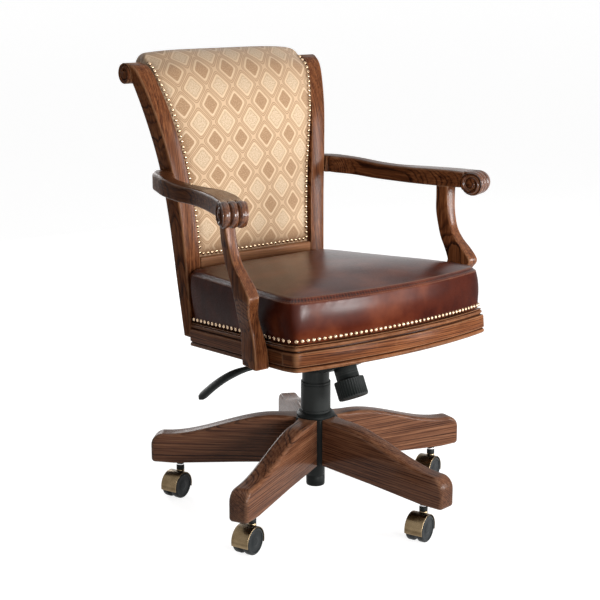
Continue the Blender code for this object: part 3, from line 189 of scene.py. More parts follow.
PAINTED_SHEEN_AND_BURNISH_SPREAD = 0.125
DIAMOND_POWER = 7.0
CLOTH_SHIFT = (0.0267, 0.0169)
CLOTH_FRAMES = 20

# Light and camera
FLOOR_GREY = 0.50
FLOOR_GLOW = 0.83
SKY_LIGHT = 0.16
LAMP_AIM = (0.0, 0.0, 0.5)
LAMPS = (
    ("key", (0.95, -3.00, 0.85), 0.8, 0.9, 50),
    ("strip", (2.10, -2.20, 0.95), 0.5, 1.5, 54),
    ("front", (-0.60, -2.90, 0.80), 0.7, 0.7, 46),
    ("top", (-0.4, 0.0, 3.2), 2.0, 2.0, 10),
    ("rear", (0.4, 2.9, 1.2), 1.6, 1.4, 34),
)
CAMERA_PLACE = (-1.794, -2.195, 1.110)
CAMERA_TURN = (math.radians(90 - 13.25), 0, math.radians(-38.59))
CAMERA_LENS = 84
CAMERA_SENSOR = 36


class Graph:
    """Adds nodes to a tree and joins them. A plain number or colour goes on the socket itself."""

    def __init__(self, tree):
        self.tree = tree

    def feed(self, socket, value):
        if isinstance(value, bpy.types.NodeSocket):
            self.tree.links.new(value, socket)
        else:
            socket.default_value = value

    def node(self, kind, inputs=None, **settings):
        made = self.tree.nodes.new(kind if kind.startswith("Node") else "ShaderNode" + kind)
        for key, value in settings.items():
            setattr(made, key, value)
        for key, value in (inputs or {}).items():
            self.feed(made.inputs[key], value)
        return made

    def math(self, operation, *values):
        made = self.node("Math", operation=operation)
        for socket, value in zip(made.inputs, values):
            self.feed(socket, value)
        return made.outputs[0]

    def plus(self, first, second):
        return self.math("ADD", first, second)

    def minus(self, first, second):
        return self.math("SUBTRACT", first, second)

    def times(self, first, second):
        return self.math("MULTIPLY", first, second)

    def larger(self, first, second):
        return self.math("MAXIMUM", first, second)

    def vector(self, operation, *values):
        made = self.node("VectorMath", operation=operation)
        for socket, value in zip(made.inputs, values):
            self.feed(socket, value)
        return made.outputs[0]

    def mix(self, factor, first, second, blend="MIX"):
        made = self.node("Mix", data_type="RGBA", blend_type=blend)
        for index, value in ((0, factor), (6, first), (7, second)):
            self.feed(made.inputs[index], value)
        return made.outputs[2]

    def step(self, value, low, high, to_low=0.0, to_high=1.0):
        """A smooth step from one value to another."""
        made = self.node("MapRange", {"Value": value, "From Min": low, "From Max": high, "To Min": to_low,
                                      "To Max": to_high}, interpolation_type="SMOOTHSTEP")
        return made.outputs["Result"]

    def band(self, value, centre, half, soft):
        """One inside a band of values and zero outside it."""
        away = self.math("ABSOLUTE", self.minus(value, centre))
        return self.step(away, half, half + soft, 1.0, 0.0)

    def noise(self, position, scale, detail=2.0, roughness=0.5):
        made = self.node("TexNoise", {"Vector": position, "Scale": scale, "Detail": detail,
                                      "Roughness": roughness})
        return made.outputs["Fac"]

    def ramp(self, factor, stops):
        made = self.node("ValToRGB")
        elements = made.color_ramp.elements
        while len(elements) < len(stops):
            elements.new(0.5)
        for element, (place, colour) in zip(elements, stops):
            element.position = place
            element.color = (*colour, 1.0)
        self.feed(made.inputs["Fac"], factor)
        return made.outputs["Color"]

    def attribute(self, name, output):
        return self.node("Attribute", attribute_name=name).outputs[output]

    def place(self, group, **inputs):
        """Puts a node group in this tree and gives its outputs."""
        made = self.node("Group", node_tree=group)
        for key, value in inputs.items():
            self.feed(made.inputs[key], value)
        return made.outputs


def new_group(name, inputs, outputs):
    """An empty shader group with named sockets: its graph, its inputs and the sockets that it fills."""
    tree = bpy.data.node_groups.new(name, "ShaderNodeTree")
    for label, kind, default in inputs:
        socket = tree.interface.new_socket(label, in_out="INPUT", socket_type="NodeSocket" + kind)
        if default is not None:
            socket.default_value = default
    for label, kind in outputs:
        tree.interface.new_socket(label, in_out="OUTPUT", socket_type="NodeSocket" + kind)
    graph = Graph(tree)
    return graph, graph.node("NodeGroupInput").outputs, graph.node("NodeGroupOutput").inputs


def wood_grain_group():
    """Growth rings cut along the board, with pores and fibres, at a place given as across, along, depth."""
    graph, given, result = new_group("wood_grain", [("Place", "Vector", None), ("Ring", "Float", 0.006)],
                                     [("Tone", "Float"), ("Pores", "Float"), ("Height", "Float")])
    place = given["Place"]
    slow = graph.vector("MULTIPLY", place, (9.0, 1.6, 9.0))
    drift = graph.node("TexNoise", {"Vector": slow, "Scale": 1.0, "Detail": 2.0}).outputs["Color"]
    shift = graph.vector("MULTIPLY", graph.vector("SUBTRACT", drift, (0.5, 0.5, 0.5)), (0.016, 0.0, 0.016))
    bent = graph.vector("ADD", place, shift)
    parts = graph.node("SeparateXYZ", {"Vector": bent}).outputs
    across = graph.plus(parts["X"], graph.times(parts["Y"], 0.02))
    squares = graph.plus(graph.times(across, across), graph.times(parts["Z"], parts["Z"]))
    radius = graph.math("SQRT", squares)
    cloud = graph.noise(graph.vector("MULTIPLY", place, (30.0, 2.0, 30.0)), 1.0)
    turns = graph.plus(graph.math("DIVIDE", radius, given["Ring"]), graph.times(cloud, 3.0))
    spot = graph.math("FRACT", turns)
    ring_tone = graph.noise(graph.node("CombineXYZ", {"X": graph.math("FLOOR", turns)}).outputs[0], 0.73)
    early = graph.times(graph.step(spot, 0.0, 0.10), graph.step(spot, 0.14, 0.55, 1.0, 0.0))
    early = graph.times(early, graph.step(ring_tone, 0.62, 0.36, 0.05, 1.0))
    fibre = graph.noise(graph.vector("MULTIPLY", place, (640.0, 14.0, 640.0)), 1.0)
    streak = graph.noise(graph.vector("MULTIPLY", bent, (210.0, 4.0, 210.0)), 1.0, 3.0, 0.6)
    flecks = graph.noise(graph.vector("MULTIPLY", place, (1150.0, 42.0, 1150.0)), 1.0, 1.0)
    pores = graph.times(graph.step(flecks, 0.52, 0.66), graph.plus(graph.times(early, 0.7), 0.3))
    tone = graph.plus(graph.times(streak, 0.62), graph.times(cloud, 0.24))
    tone = graph.plus(tone, graph.times(graph.minus(fibre, 0.5), 0.36))
    tone = graph.minus(graph.plus(tone, 0.14), graph.times(early, 0.28))
    height = graph.minus(graph.times(fibre, 0.3), pores)
    graph.feed(result["Tone"], tone)
    graph.feed(result["Pores"], pores)
    graph.feed(result["Height"], height)
    return graph.tree


def edge_wear_group():
    """Masks for rubbed edges and for glaze left in hollows, from how far a point stands out."""
    graph, given, result = new_group("edge_wear", [("Edge", "Float", 0.0), ("Place", "Vector", None),
                                                   ("Amount", "Float", 0.6)],
                                     [("Rubbed", "Float"), ("Hollow", "Float")])
    broken = graph.times(graph.minus(graph.noise(given["Place"], 60.0, 3.0), 0.5), 0.7)
    rubbed = graph.step(graph.plus(given["Edge"], broken), 0.30, 0.85)
    graph.feed(result["Rubbed"], graph.times(rubbed, given["Amount"]))
    graph.feed(result["Hollow"], graph.step(graph.times(given["Edge"], -1.0), 0.10, 0.65))
    return graph.tree


def fine_texture_group():
    """A fine surface at a size of its own, and slow patches for colour and gloss."""
    graph, given, result = new_group("fine_texture", [("Place", "Vector", None), ("Size", "Float", 0.001),
                                                      ("Patch", "Float", 0.05)],
                                     [("Height", "Float"), ("Patches", "Float")])
    fine = graph.vector("SCALE", given["Place"])
    graph.feed(fine.node.inputs["Scale"], graph.math("DIVIDE", 1.0, given["Size"]))
    slow = graph.vector("SCALE", given["Place"])
    graph.feed(slow.node.inputs["Scale"], graph.math("DIVIDE", 1.0, given["Patch"]))
    graph.feed(result["Height"], graph.noise(fine, 1.0, 3.0, 0.6))
    graph.feed(result["Patches"], graph.noise(slow, 1.0, 3.0, 0.55))
    return graph.tree


def lattice_group():
    """A lattice of rounded diamonds over cloth in metres: which diamond, its rings and its threads."""
    inputs = [("Cloth", "Vector", None), ("Across", "Float", 0.066), ("Up", "Float", 0.074)]
    outputs = [(label, "Float") for label in ("Kind", "Fill", "Outline", "Inner", "Lines", "Threads")]
    graph, given, result = new_group("diamond_lattice", inputs, outputs)
    parts = graph.node("SeparateXYZ", {"Vector": given["Cloth"]}).outputs
    across = graph.math("DIVIDE", parts["X"], given["Across"])
    up = graph.math("DIVIDE", parts["Y"], given["Up"])
    cells = []
    middles = []
    for slant in (graph.plus(across, up), graph.minus(across, up)):
        cells.append(graph.math("FLOOR", slant))
        middles.append(graph.minus(graph.math("FRACT", slant), 0.5))
    kind = graph.math("ABSOLUTE", graph.math("MODULO", graph.minus(*cells), 2.0))
    widening = graph.plus(graph.times(kind, 0.06), 1.0)
    wide = graph.times(graph.plus(*middles), widening)
    tall = graph.minus(*middles)
    reach = [graph.math("POWER", graph.math("ABSOLUTE", graph.math(way, wide, tall)), DIAMOND_POWER)
             for way in ("ADD", "SUBTRACT")]
    away = graph.math("POWER", graph.plus(*reach), 1 / DIAMOND_POWER)
    near = graph.math("DIVIDE", away, graph.minus(0.75, graph.times(kind, 0.05)))
    graph.feed(result["Kind"], kind)
    graph.feed(result["Fill"], graph.step(near, 0.78, 0.86, 1.0, 0.0))
    graph.feed(result["Outline"], graph.band(near, 0.91, 0.045, 0.05))
    graph.feed(result["Inner"], graph.band(near, 0.72, 0.02, 0.04))
    first = graph.band(away, 0.815, 0.022, 0.022)
    graph.feed(result["Lines"], graph.larger(first, graph.band(away, 0.935, 0.026, 0.022)))
    fine = graph.vector("MULTIPLY", given["Cloth"], (1100.0, 620.0, 1.0))
    graph.feed(result["Threads"], graph.noise(fine, 1.0, 2.0))
    return graph.tree


WOOD_GRAIN = wood_grain_group()
EDGE_WEAR = edge_wear_group()
FINE_TEXTURE = fine_texture_group()
LATTICE = lattice_group()


def new_surface(name, **constants):
    """A material with its graph and its shader, whose even values are set on the shader's own sockets."""
    material = bpy.data.materials.new(name)
    material.use_nodes = True
    graph = Graph(material.node_tree)
    shader = material.node_tree.nodes["Principled BSDF"]
    for key, value in constants.items():
        shader.inputs[key.replace("_", " ")].default_value = value
    return material, graph, shader


def seen_rays(graph):
    """One where a surface is seen straight, in a mirror or through glass, and zero where it lights others."""
    ray = graph.node("LightPath").outputs
    return graph.larger(graph.larger(ray["Is Camera Ray"], ray["Is Glossy Ray"]), ray["Is Transmission Ray"])


def add_bump(graph, shader, height, distance, strength=1.0):
    bump = graph.node("Bump", {"Height": height, "Distance": distance, "Strength": strength})
    graph.feed(shader.inputs["Normal"], bump.outputs["Normal"])


def object_place(graph):
    return graph.node("TexCoord").outputs["Object"]


def stained_wood(name, stops, rubbed_colour, wear, ring, gloss):
    """Stained open-pored wood under a satin lacquer."""
    material, graph, shader = new_surface(name, Specular_IOR_Level=0.012, Coat_Roughness=0.20)
    place = graph.attribute("grain", "Vector")
    grain = graph.place(WOOD_GRAIN, Place=place, Ring=ring)
    worn = graph.place(EDGE_WEAR, Edge=graph.attribute("edge", "Fac"), Place=place, Amount=wear)
    colour = graph.ramp(grain["Tone"], stops)
    colour = graph.mix(graph.times(grain["Pores"], 0.60), colour, (0.012, 0.005, 0.003, 1))
    colour = graph.mix(worn["Rubbed"], colour, (*rubbed_colour, 1))
    glazed = graph.larger(graph.times(worn["Hollow"], 0.80), graph.attribute("glaze", "Fac"))
    colour = graph.mix(glazed, colour, (0.014, 0.005, 0.003, 1))
    graph.feed(shader.inputs["Base Color"], colour)
    rough = graph.plus(graph.times(grain["Pores"], 0.2), 0.29)
    graph.feed(shader.inputs["Roughness"], graph.plus(rough, graph.times(worn["Hollow"], 0.15)))
    graph.feed(shader.inputs["Coat Weight"], graph.times(graph.attribute("polish", "Fac"), gloss))
    add_bump(graph, shader, grain["Height"], 0.00022)
    return material


def burnished_leather():
    """Dark red-brown leather, rubbed to orange brown in patches and along its seams, with painted sheen and
    shade laid over its patches.
    """
    material, graph, shader = new_surface("burnished_leather", Specular_IOR_Level=0.015, Coat_Roughness=0.28)
    place = object_place(graph)
    hide = graph.place(FINE_TEXTURE, Place=place, Size=0.0016, Patch=0.075)
    worn = graph.place(EDGE_WEAR, Edge=graph.attribute("edge", "Fac"), Place=place, Amount=0.55)
    cells = graph.node("TexVoronoi", {"Vector": place, "Scale": 620.0}, feature="DISTANCE_TO_EDGE")
    streak = graph.noise(graph.vector("MULTIPLY", place, (9.0, 9.0, 12.0)), 1.0, 3.0)
    patch = graph.plus(graph.times(hide["Patches"], 0.5), graph.times(streak, 0.35))
    # Painted sheen and shade: the patches are lifted where highlights fall and lowered where shade falls,
    # over dye rubbed paler by use.
    patch = graph.plus(patch, graph.attribute("burnish_and_painted_light", "Fac"))
    colour = graph.ramp(patch, ((0.34, (0.034, 0.0062, 0.0036)), (0.47, (0.066, 0.0125, 0.0058)),
                                (0.56, (0.112, 0.0255, 0.0105)), (0.70, (0.185, 0.0520, 0.0200))))
    colour = graph.mix(worn["Rubbed"], colour, (0.17, 0.048, 0.022, 1))
    colour = graph.mix(graph.times(worn["Hollow"], 0.85), colour, (0.010, 0.0035, 0.003, 1))
    graph.feed(shader.inputs["Base Color"], colour)
    graph.feed(shader.inputs["Roughness"], graph.plus(graph.times(hide["Height"], 0.12), 0.22))
    graph.feed(shader.inputs["Coat Weight"], graph.times(graph.attribute("polish", "Fac"), 0.55))
    crease = graph.step(cells.outputs["Distance"], 0.0, 0.12)
    height = graph.plus(graph.times(crease, 0.35), hide["Height"])
    add_bump(graph, shader, height, 0.00005)
    return material


def gold_damask():
    """Gold woven cloth with rows of pale and tan diamonds in a double lattice, darkened brown where the mesh
    carries painted shade.
    """
    material, graph, shader = new_surface("gold_damask", Sheen_Weight=0.25, Sheen_Roughness=0.5)
    cloth = graph.node("UVMap", uv_map="cloth").outputs["UV"]
    lattice = graph.place(LATTICE, Cloth=cloth)
    fine = graph.place(FINE_TEXTURE, Place=cloth, Size=0.0024, Patch=0.09)
    colour = graph.mix(fine["Patches"], (0.60, 0.415, 0.257, 1), (0.67, 0.470, 0.300, 1))
    colour = graph.mix(graph.times(lattice["Lines"], 0.9), colour, (0.37, 0.225, 0.120, 1))
    fill = graph.mix(lattice["Kind"], (0.59, 0.430, 0.278, 1), (0.345, 0.200, 0.104, 1))
    fleck = graph.mix(lattice["Kind"], (0.72, 0.560, 0.39, 1), (0.49, 0.315, 0.180, 1))
    fill = graph.mix(graph.step(fine["Height"], 0.46, 0.60), fill, fleck)
    fill = graph.mix(graph.step(fine["Height"], 0.46, 0.36, 0.0, 0.55), fill, (0.35, 0.222, 0.122, 1))
    fill = graph.mix(graph.times(lattice["Inner"], 0.45), fill, (0.42, 0.255, 0.135, 1))
    colour = graph.mix(lattice["Fill"], colour, fill)
    colour = graph.mix(graph.times(lattice["Outline"], 0.72), colour, (0.76, 0.565, 0.36, 1))
    colour = graph.mix(graph.step(lattice["Threads"], 0.35, 0.68, 0.0, 0.18), colour, (0.40, 0.235, 0.115, 1))
    # Painted shade: a dark brown laid over the cloth where shadows fall, beside the nails, at the pad's foot
    # and on its top roll.
    painted_shade_share = graph.times(graph.attribute("painted_shade", "Fac"), 0.9)
    colour = graph.mix(painted_shade_share, colour, (0.17, 0.085, 0.035, 1))
    graph.feed(shader.inputs["Base Color"], colour)
    graph.feed(shader.inputs["Roughness"], graph.minus(0.88, graph.times(lattice["Outline"], 0.28)))
    raised = graph.plus(graph.times(lattice["Outline"], 0.6), lattice["Threads"])
    raised = graph.plus(raised, graph.times(lattice["Fill"], 0.35))
    add_bump(graph, shader, raised, 0.0004, 0.8)
    return material


def worked_metal(name, base, dark, roughness, size, wear, metallic=1.0, brushed=None):
    """Metal with slow dark patches, fine texture and rubbed edges, and dark bands of painted reflection where
    the mesh carries them. A brushed one is drawn out along an axis.
    """
    material, graph, shader = new_surface(name, Metallic=metallic, Specular_IOR_Level=0.10)
    place = object_place(graph)
    texture_place = place
    if brushed is not None:
        texture_place = graph.vector("MULTIPLY", graph.attribute("grain", "Vector"), brushed)
    fine = graph.place(FINE_TEXTURE, Place=texture_place, Size=size, Patch=0.03)
    worn = graph.place(EDGE_WEAR, Edge=graph.attribute("edge", "Fac"), Place=place, Amount=wear)
    colour = graph.mix(graph.step(fine["Patches"], 0.3, 0.7), (*dark, 1), (*base, 1))
    # Painted reflection: dark bands darken the metal where a dark room would be mirrored in it.
    painted_reflection = graph.times(graph.attribute("painted_reflection", "Fac"), 0.9)
    painted_reflection_dark = tuple(0.4 * value for value in dark)
    colour = graph.mix(painted_reflection, colour, (*painted_reflection_dark, 1))
    bright = tuple(min(1.0, 1.25 * value + 0.02) for value in base)
    colour = graph.mix(worn["Rubbed"], colour, (*bright, 1))
    dirt = tuple(0.25 * value for value in dark)
    colour = graph.mix(graph.times(worn["Hollow"], 0.7), colour, (*dirt, 1))
    graph.feed(shader.inputs["Base Color"], colour)
    low, high = roughness
    graph.feed(shader.inputs["Roughness"], graph.step(fine["Height"], 0.2, 0.8, low, high))
    add_bump(graph, shader, fine["Height"], 0.00006)
    return material


def moulded_plastic(name, colour, roughness):
    """Black moulded plastic with a fine spark texture and paler rubbed edges."""
    material, graph, shader = new_surface(name, Specular_IOR_Level=0.10)
    place = object_place(graph)
    fine = graph.place(FINE_TEXTURE, Place=place, Size=0.0009, Patch=0.02)
    worn = graph.place(EDGE_WEAR, Edge=graph.attribute("edge", "Fac"), Place=place, Amount=0.30)
    deep, pale = (tuple(share * value for value in colour) for share in (0.75, 1.25))
    shade = graph.mix(fine["Patches"], (*deep, 1), (*pale, 1))
    shade = graph.mix(worn["Rubbed"], shade, (0.06, 0.062, 0.06, 1))
    graph.feed(shader.inputs["Base Color"], shade)
    rough = graph.step(fine["Height"], 0.2, 0.8, roughness - 0.08, roughness + 0.1)
    graph.feed(shader.inputs["Roughness"], rough)
    add_bump(graph, shader, fine["Height"], 0.00010)
    return material


def bare_plywood():
    """Pale bare ply, seen only from below."""
    material, graph, shader = new_surface("plywood")
    grain = graph.place(WOOD_GRAIN, Place=graph.attribute("grain", "Vector"), Ring=0.011)
    colour = graph.ramp(grain["Tone"], ((0.2, (0.26, 0.165, 0.09)), (0.8, (0.50, 0.36, 0.21))))
    graph.feed(shader.inputs["Base Color"], colour)
    graph.feed(shader.inputs["Roughness"], graph.plus(graph.times(grain["Pores"], 0.2), 0.65))
    add_bump(graph, shader, grain["Height"], 0.0002)
    return material


def waxed_thread():
    """Brown sewing thread with a twist."""
    material, graph, shader = new_surface("waxed_thread")
    fine = graph.place(FINE_TEXTURE, Place=object_place(graph), Size=0.0004, Patch=0.01)
    colour = graph.mix(fine["Height"], (0.085, 0.028, 0.014, 1), (0.25, 0.105, 0.052, 1))
    graph.feed(shader.inputs["Base Color"], colour)
    graph.feed(shader.inputs["Roughness"], graph.plus(graph.times(fine["Patches"], 0.2), 0.5))
    return material


WALNUT_STOPS = ((0.28, (0.026, 0.0075, 0.0036)), (0.46, (0.092, 0.0280, 0.0105)),
                (0.60, (0.180, 0.0610, 0.0225)), (0.78, (0.300, 0.1180, 0.0460)))
# A darker copy of the walnut for the arms: partly their own darker wood, partly painted shade for their
# shaded sides.
ARM_STOPS_DARK_AND_SHADED = tuple((place, tuple(0.74 * value for value in colour)) for place, colour in WALNUT_STOPS)
LEG_STOPS = ((0.28, (0.020, 0.0065, 0.0040)), (0.44, (0.078, 0.0285, 0.0140)),
             (0.58, (0.155, 0.0630, 0.0320)), (0.76, (0.250, 0.1150, 0.0590)))
WALNUT = stained_wood("walnut", WALNUT_STOPS, (0.34, 0.17, 0.085), 0.45, 0.0036, 0.17)
ARM_WALNUT_DARK_AND_SHADED = stained_wood("arm_walnut_dark_and_shaded", ARM_STOPS_DARK_AND_SHADED, (0.27, 0.135, 0.07), 0.45, 0.0032, 0.20)
LEG_WALNUT = stained_wood("leg_walnut", LEG_STOPS, (0.27, 0.145, 0.085), 0.40, 0.0036, 0.22)
LEATHER = burnished_leather()
DAMASK = gold_damask()
NAIL_BRASS = worked_metal("nail_brass", (0.50, 0.36, 0.235), (0.27, 0.175, 0.10), (0.12, 0.24), 0.0012, 0.4)
HOOD_BRASS = worked_metal("antique_brass", (0.27, 0.195, 0.110), (0.16, 0.110, 0.058), (0.20, 0.34), 0.0005,
                          0.5, brushed=(1.0, 0.04, 1.0))
BLACK_METAL = worked_metal("black_metal", (0.0075, 0.0095, 0.0090), (0.005, 0.006, 0.006), (0.36, 0.52),
                           0.0010, 0.25, metallic=0.0)
BLACK_PLASTIC = moulded_plastic("black_plastic", (0.0070, 0.0090, 0.0085), 0.42)
WHEEL_PLASTIC = moulded_plastic("wheel_plastic", (0.012, 0.0145, 0.0155), 0.32)
STEEL = worked_metal("steel", (0.62, 0.62, 0.63), (0.42, 0.42, 0.44), (0.18, 0.32), 0.0010, 0.3)
PLYWOOD = bare_plywood()
THREAD = waxed_thread()


def spline(stations, steps):
    """Smooth rows through given stations, with a number of steps in each span."""
    rows = np.asarray(stations, float)
    padded = np.vstack((2 * rows[0] - rows[1], rows, 2 * rows[-1] - rows[-2]))
    result = []
    for i in range(1, len(padded) - 2):
        before, start, end, after = padded[i - 1:i + 3]
        bend = 2 * before - 5 * start + 4 * end - after
        twist = 3 * start - before - 3 * end + after
        for t in np.arange(steps) / steps:
            result.append(0.5 * (2 * start + (end - before) * t + bend * t ** 2 + twist * t ** 3))
    result.append(rows[-1])
    return np.array(result)


def smooth_step(share):
    """A share from 0 to 1 that starts and ends gently."""
    return share * share * (3 - 2 * share)


def arc_points(centre, radius, start, end, steps):
    angles = np.linspace(start, end, steps + 1)
    return np.column_stack((centre[0] + radius * np.cos(angles), centre[1] + radius * np.sin(angles)))


def lengths_along(path):
    """Distance along a path at each of its points."""
    return np.concatenate(([0.0], np.cumsum(np.linalg.norm(np.diff(path, axis=0), axis=1))))


def resampled(path, spacing):
    """An open path with points at an even spacing."""
    along = lengths_along(path)
    count = max(2, int(round(along[-1] / spacing)) + 1)
    wanted = np.linspace(0, along[-1], count)
    return np.column_stack([np.interp(wanted, along, path[:, k]) for k in range(path.shape[1])])


def path_normals(path, closed=False):
    """Unit vectors square to a plan path, to the left of its direction."""
    if closed:
        tangent = np.roll(path, -1, axis=0) - np.roll(path, 1, axis=0)
    else:
        tangent = np.gradient(path, axis=0)
    tangent /= np.linalg.norm(tangent, axis=1)[:, None]
    return np.column_stack((-tangent[:, 1], tangent[:, 0]))


def show(piece):
    bpy.context.scene.collection.objects.link(piece)
    return piece


def new_piece(name, points, faces):
    mesh = bpy.data.meshes.new(name)
    mesh.from_pydata([tuple(point) for point in points], [], [tuple(face) for face in faces])
    bm = bmesh.new()
    bm.from_mesh(mesh)
    bmesh.ops.recalc_face_normals(bm, faces=bm.faces)
    bm.to_mesh(mesh)
    bm.free()
    return show(bpy.data.objects.new(name, mesh))


def grid_faces(rows, columns, wrap, first=0):
    """Quads between the rows of a grid whose points start at a number."""
    faces = []
    for i in range(rows - 1):
        for j in range(columns if wrap else columns - 1):
            k = (j + 1) % columns
            low, high = first + i * columns, first + (i + 1) * columns
            faces.append((low + j, low + k, high + k, high + j))
    return faces


def tube_faces(rows, columns, first=0):
    """Quads between closed rings, with one face over each end."""
    last = first + (rows - 1) * columns
    ends = [tuple(reversed(range(first, first + columns))), tuple(range(last, last + columns))]
    return grid_faces(rows, columns, True, first) + ends


def shell_faces(rows, columns):
    """Quads of two sheets of points, the second one after the first, and of the wall round their rim."""
    count = rows * columns
    rim = [*range(columns), *range(2 * columns - 1, count, columns)]
    rim += [*range(count - 2, count - columns - 1, -1), *range(count - 2 * columns, 0, -columns)]
    wall = [(here, ahead, count + ahead, count + here) for here, ahead in zip(rim, rim[1:] + rim[:1])]
    return grid_faces(rows, columns, False) + grid_faces(rows, columns, False, count) + wall


def loft(name, rings):
    """Rings of as many points each, joined in order and closed at both ends."""
    rings = np.asarray(rings, float)
    rows, columns = rings.shape[:2]
    return new_piece(name, rings.reshape(-1, 3), tube_faces(rows, columns))


def turned(name, profile, steps=64):
    """A profile of (radius, height) turned about Z, closed at both ends unless it runs back to its start."""
    profile = np.asarray(profile, float)
    angles = np.arange(steps) * 2 * math.pi / steps
    rings = np.stack([np.column_stack((r * np.cos(angles), r * np.sin(angles), np.full(steps, z)))
                      for r, z in profile])
    if np.allclose(profile[0], profile[-1]):
        faces = grid_faces(len(profile), steps, True)
    else:
        faces = tube_faces(len(profile), steps)
    return weld(new_piece(name, rings.reshape(-1, 3), faces))


def weld(piece, distance=1e-6):
    bm = bmesh.new()
    bm.from_mesh(piece.data)
    bmesh.ops.remove_doubles(bm, verts=bm.verts, dist=distance)
    bmesh.ops.recalc_face_normals(bm, faces=bm.faces)
    bm.to_mesh(piece.data)
    bm.free()
    return piece


def rounded_ring(corners, radii, steps=4):
    """A ring of points round flat corners, each eased by a radius."""
    corners = np.asarray(corners, float)
    count = len(corners)
    points = []
    for i, (corner, radius) in enumerate(zip(corners, radii)):
        back = corners[i - 1] - corner
        ahead = corners[(i + 1) % count] - corner
        start = corner + back / np.linalg.norm(back) * radius
        end = corner + ahead / np.linalg.norm(ahead) * radius
        for t in np.linspace(0, 1, steps + 1):
            points.append((1 - t) ** 2 * start + 2 * t * (1 - t) * corner + t ** 2 * end)
    return np.array(points)


def rounded_slab(name, outline, thickness, radii, steps=6):
    """A flat outline in XZ given a thickness in Y, with both rims rounded by a radius at each point."""
    outline = np.asarray(outline, float)
    radii = np.asarray(radii, float)
    inward = path_normals(outline, closed=True)
    turns = np.linspace(0, math.pi / 2, steps + 1)
    rings = []
    for side, order in ((-1, turns[::-1]), (1, turns)):
        for turn in order:
            line = outline + inward * (radii * (1 - math.cos(turn)))[:, None]
            depth = side * (thickness / 2 - radii * (1 - math.sin(turn)))
            rings.append(np.column_stack((line[:, 0], depth, line[:, 1])))
    return loft(name, rings)


def move(piece, matrix):
    piece.data.transform(matrix)
    return piece


def joined(name, pieces):
    """One piece from several, with their points in place."""
    bm = bmesh.new()
    for piece in pieces:
        bm.from_mesh(piece.data)
        bpy.data.objects.remove(piece, do_unlink=True)
    mesh = bpy.data.meshes.new(name)
    bm.to_mesh(mesh)
    bm.free()
    return show(bpy.data.objects.new(name, mesh))


def eased_copy(node, radius, segments=3):
    """A copy of a CAD node's shape with its edges eased."""
    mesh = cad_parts[node].data.copy()
    mesh.materials.clear()
    copy = show(bpy.data.objects.new("shape_" + node, mesh))
    bm = bmesh.new()
    bm.from_mesh(mesh)
    bmesh.ops.remove_doubles(bm, verts=bm.verts, dist=1e-6)
    bmesh.ops.dissolve_limit(bm, angle_limit=math.radians(1.0), verts=bm.verts, edges=bm.edges)
    bm.to_mesh(mesh)
    bm.free()
    ease = copy.modifiers.new("ease", "BEVEL")
    ease.width = radius
    ease.segments = segments
    ease.limit_method = "ANGLE"
    ease.angle_limit = math.radians(38)
    apply_modifiers(copy)
    normals = copy.data.attributes.get("custom_normal")
    if normals is not None:
        copy.data.attributes.remove(normals)
    return copy


def apply_modifiers(piece):
    evaluated = piece.evaluated_get(bpy.context.evaluated_depsgraph_get())
    mesh = bpy.data.meshes.new_from_object(evaluated)
    piece.modifiers.clear()
    piece.data = mesh
    return piece


def mesh_points(mesh):
    points = np.empty(3 * len(mesh.vertices))
    mesh.vertices.foreach_get("co", points)
    return points.reshape(-1, 3)


def mesh_normals(mesh):
    normals = np.empty(3 * len(mesh.vertices))
    mesh.vertices.foreach_get("normal", normals)
    return normals.reshape(-1, 3)


def set_points(mesh, points):
    mesh.vertices.foreach_set("co", np.ascontiguousarray(points, np.float32).ravel())
    mesh.update()


def write_values(mesh, name, values):
    kind, key = ("FLOAT_VECTOR", "vector") if values.ndim == 2 else ("FLOAT", "value")
    layer = mesh.attributes.get(name) or mesh.attributes.new(name, kind, "POINT")
    layer.data.foreach_set(key, np.ascontiguousarray(values, np.float32).ravel())


def write_edges(mesh, gain=7.0):
    """Writes how far each point stands out of its neighbours, from -1 in a hollow to 1 on an edge."""
    points = mesh_points(mesh)
    normals = mesh_normals(mesh)
    ends = np.empty(2 * len(mesh.edges), np.int32)
    mesh.edges.foreach_get("vertices", ends)
    first, second = ends.reshape(-1, 2).T
    ways = points[second] - points[first]
    ways /= np.maximum(np.linalg.norm(ways, axis=1), 1e-9)[:, None]
    total = np.zeros(len(points))
    degree = np.zeros(len(points))
    np.add.at(total, first, (ways * normals[first]).sum(1))
    np.add.at(total, second, -(ways * normals[second]).sum(1))
    np.add.at(degree, first, 1)
    np.add.at(degree, second, 1)
    write_values(mesh, "edge", np.clip(-gain * total / np.maximum(degree, 1), -1, 1))


def handled_places(mesh, body):
    """How far wood is polished by hands: fronts and tops above the seat, most of all the arms' scrolls."""
    if body != "seat":
        return np.ones(len(mesh.vertices))
    sideways = np.clip((np.abs(mesh_normals(mesh)[:, 0]) - 0.50) / 0.35, 0, 1)
    points = mesh_points(mesh)
    above = np.clip((points[:, 2] - RAIL_POLISH_HEIGHT) / 0.03, RAIL_POLISH, 1)
    from_scroll = np.hypot(points[:, 1] - ARM_SCROLL[1], points[:, 2] - ARM_SCROLL[2])
    scroll = np.clip(1.9 - from_scroll / ARM_SCROLL_RADIUS, 0, 1)
    support = (np.abs(points[:, 0]) > SUPPORT_INNER_SIDE) & (points[:, 1] < 0) & (above == 1)
    return (1 - sideways) * (above + SCROLL_POLISH * scroll + SUPPORT_POLISH * support)


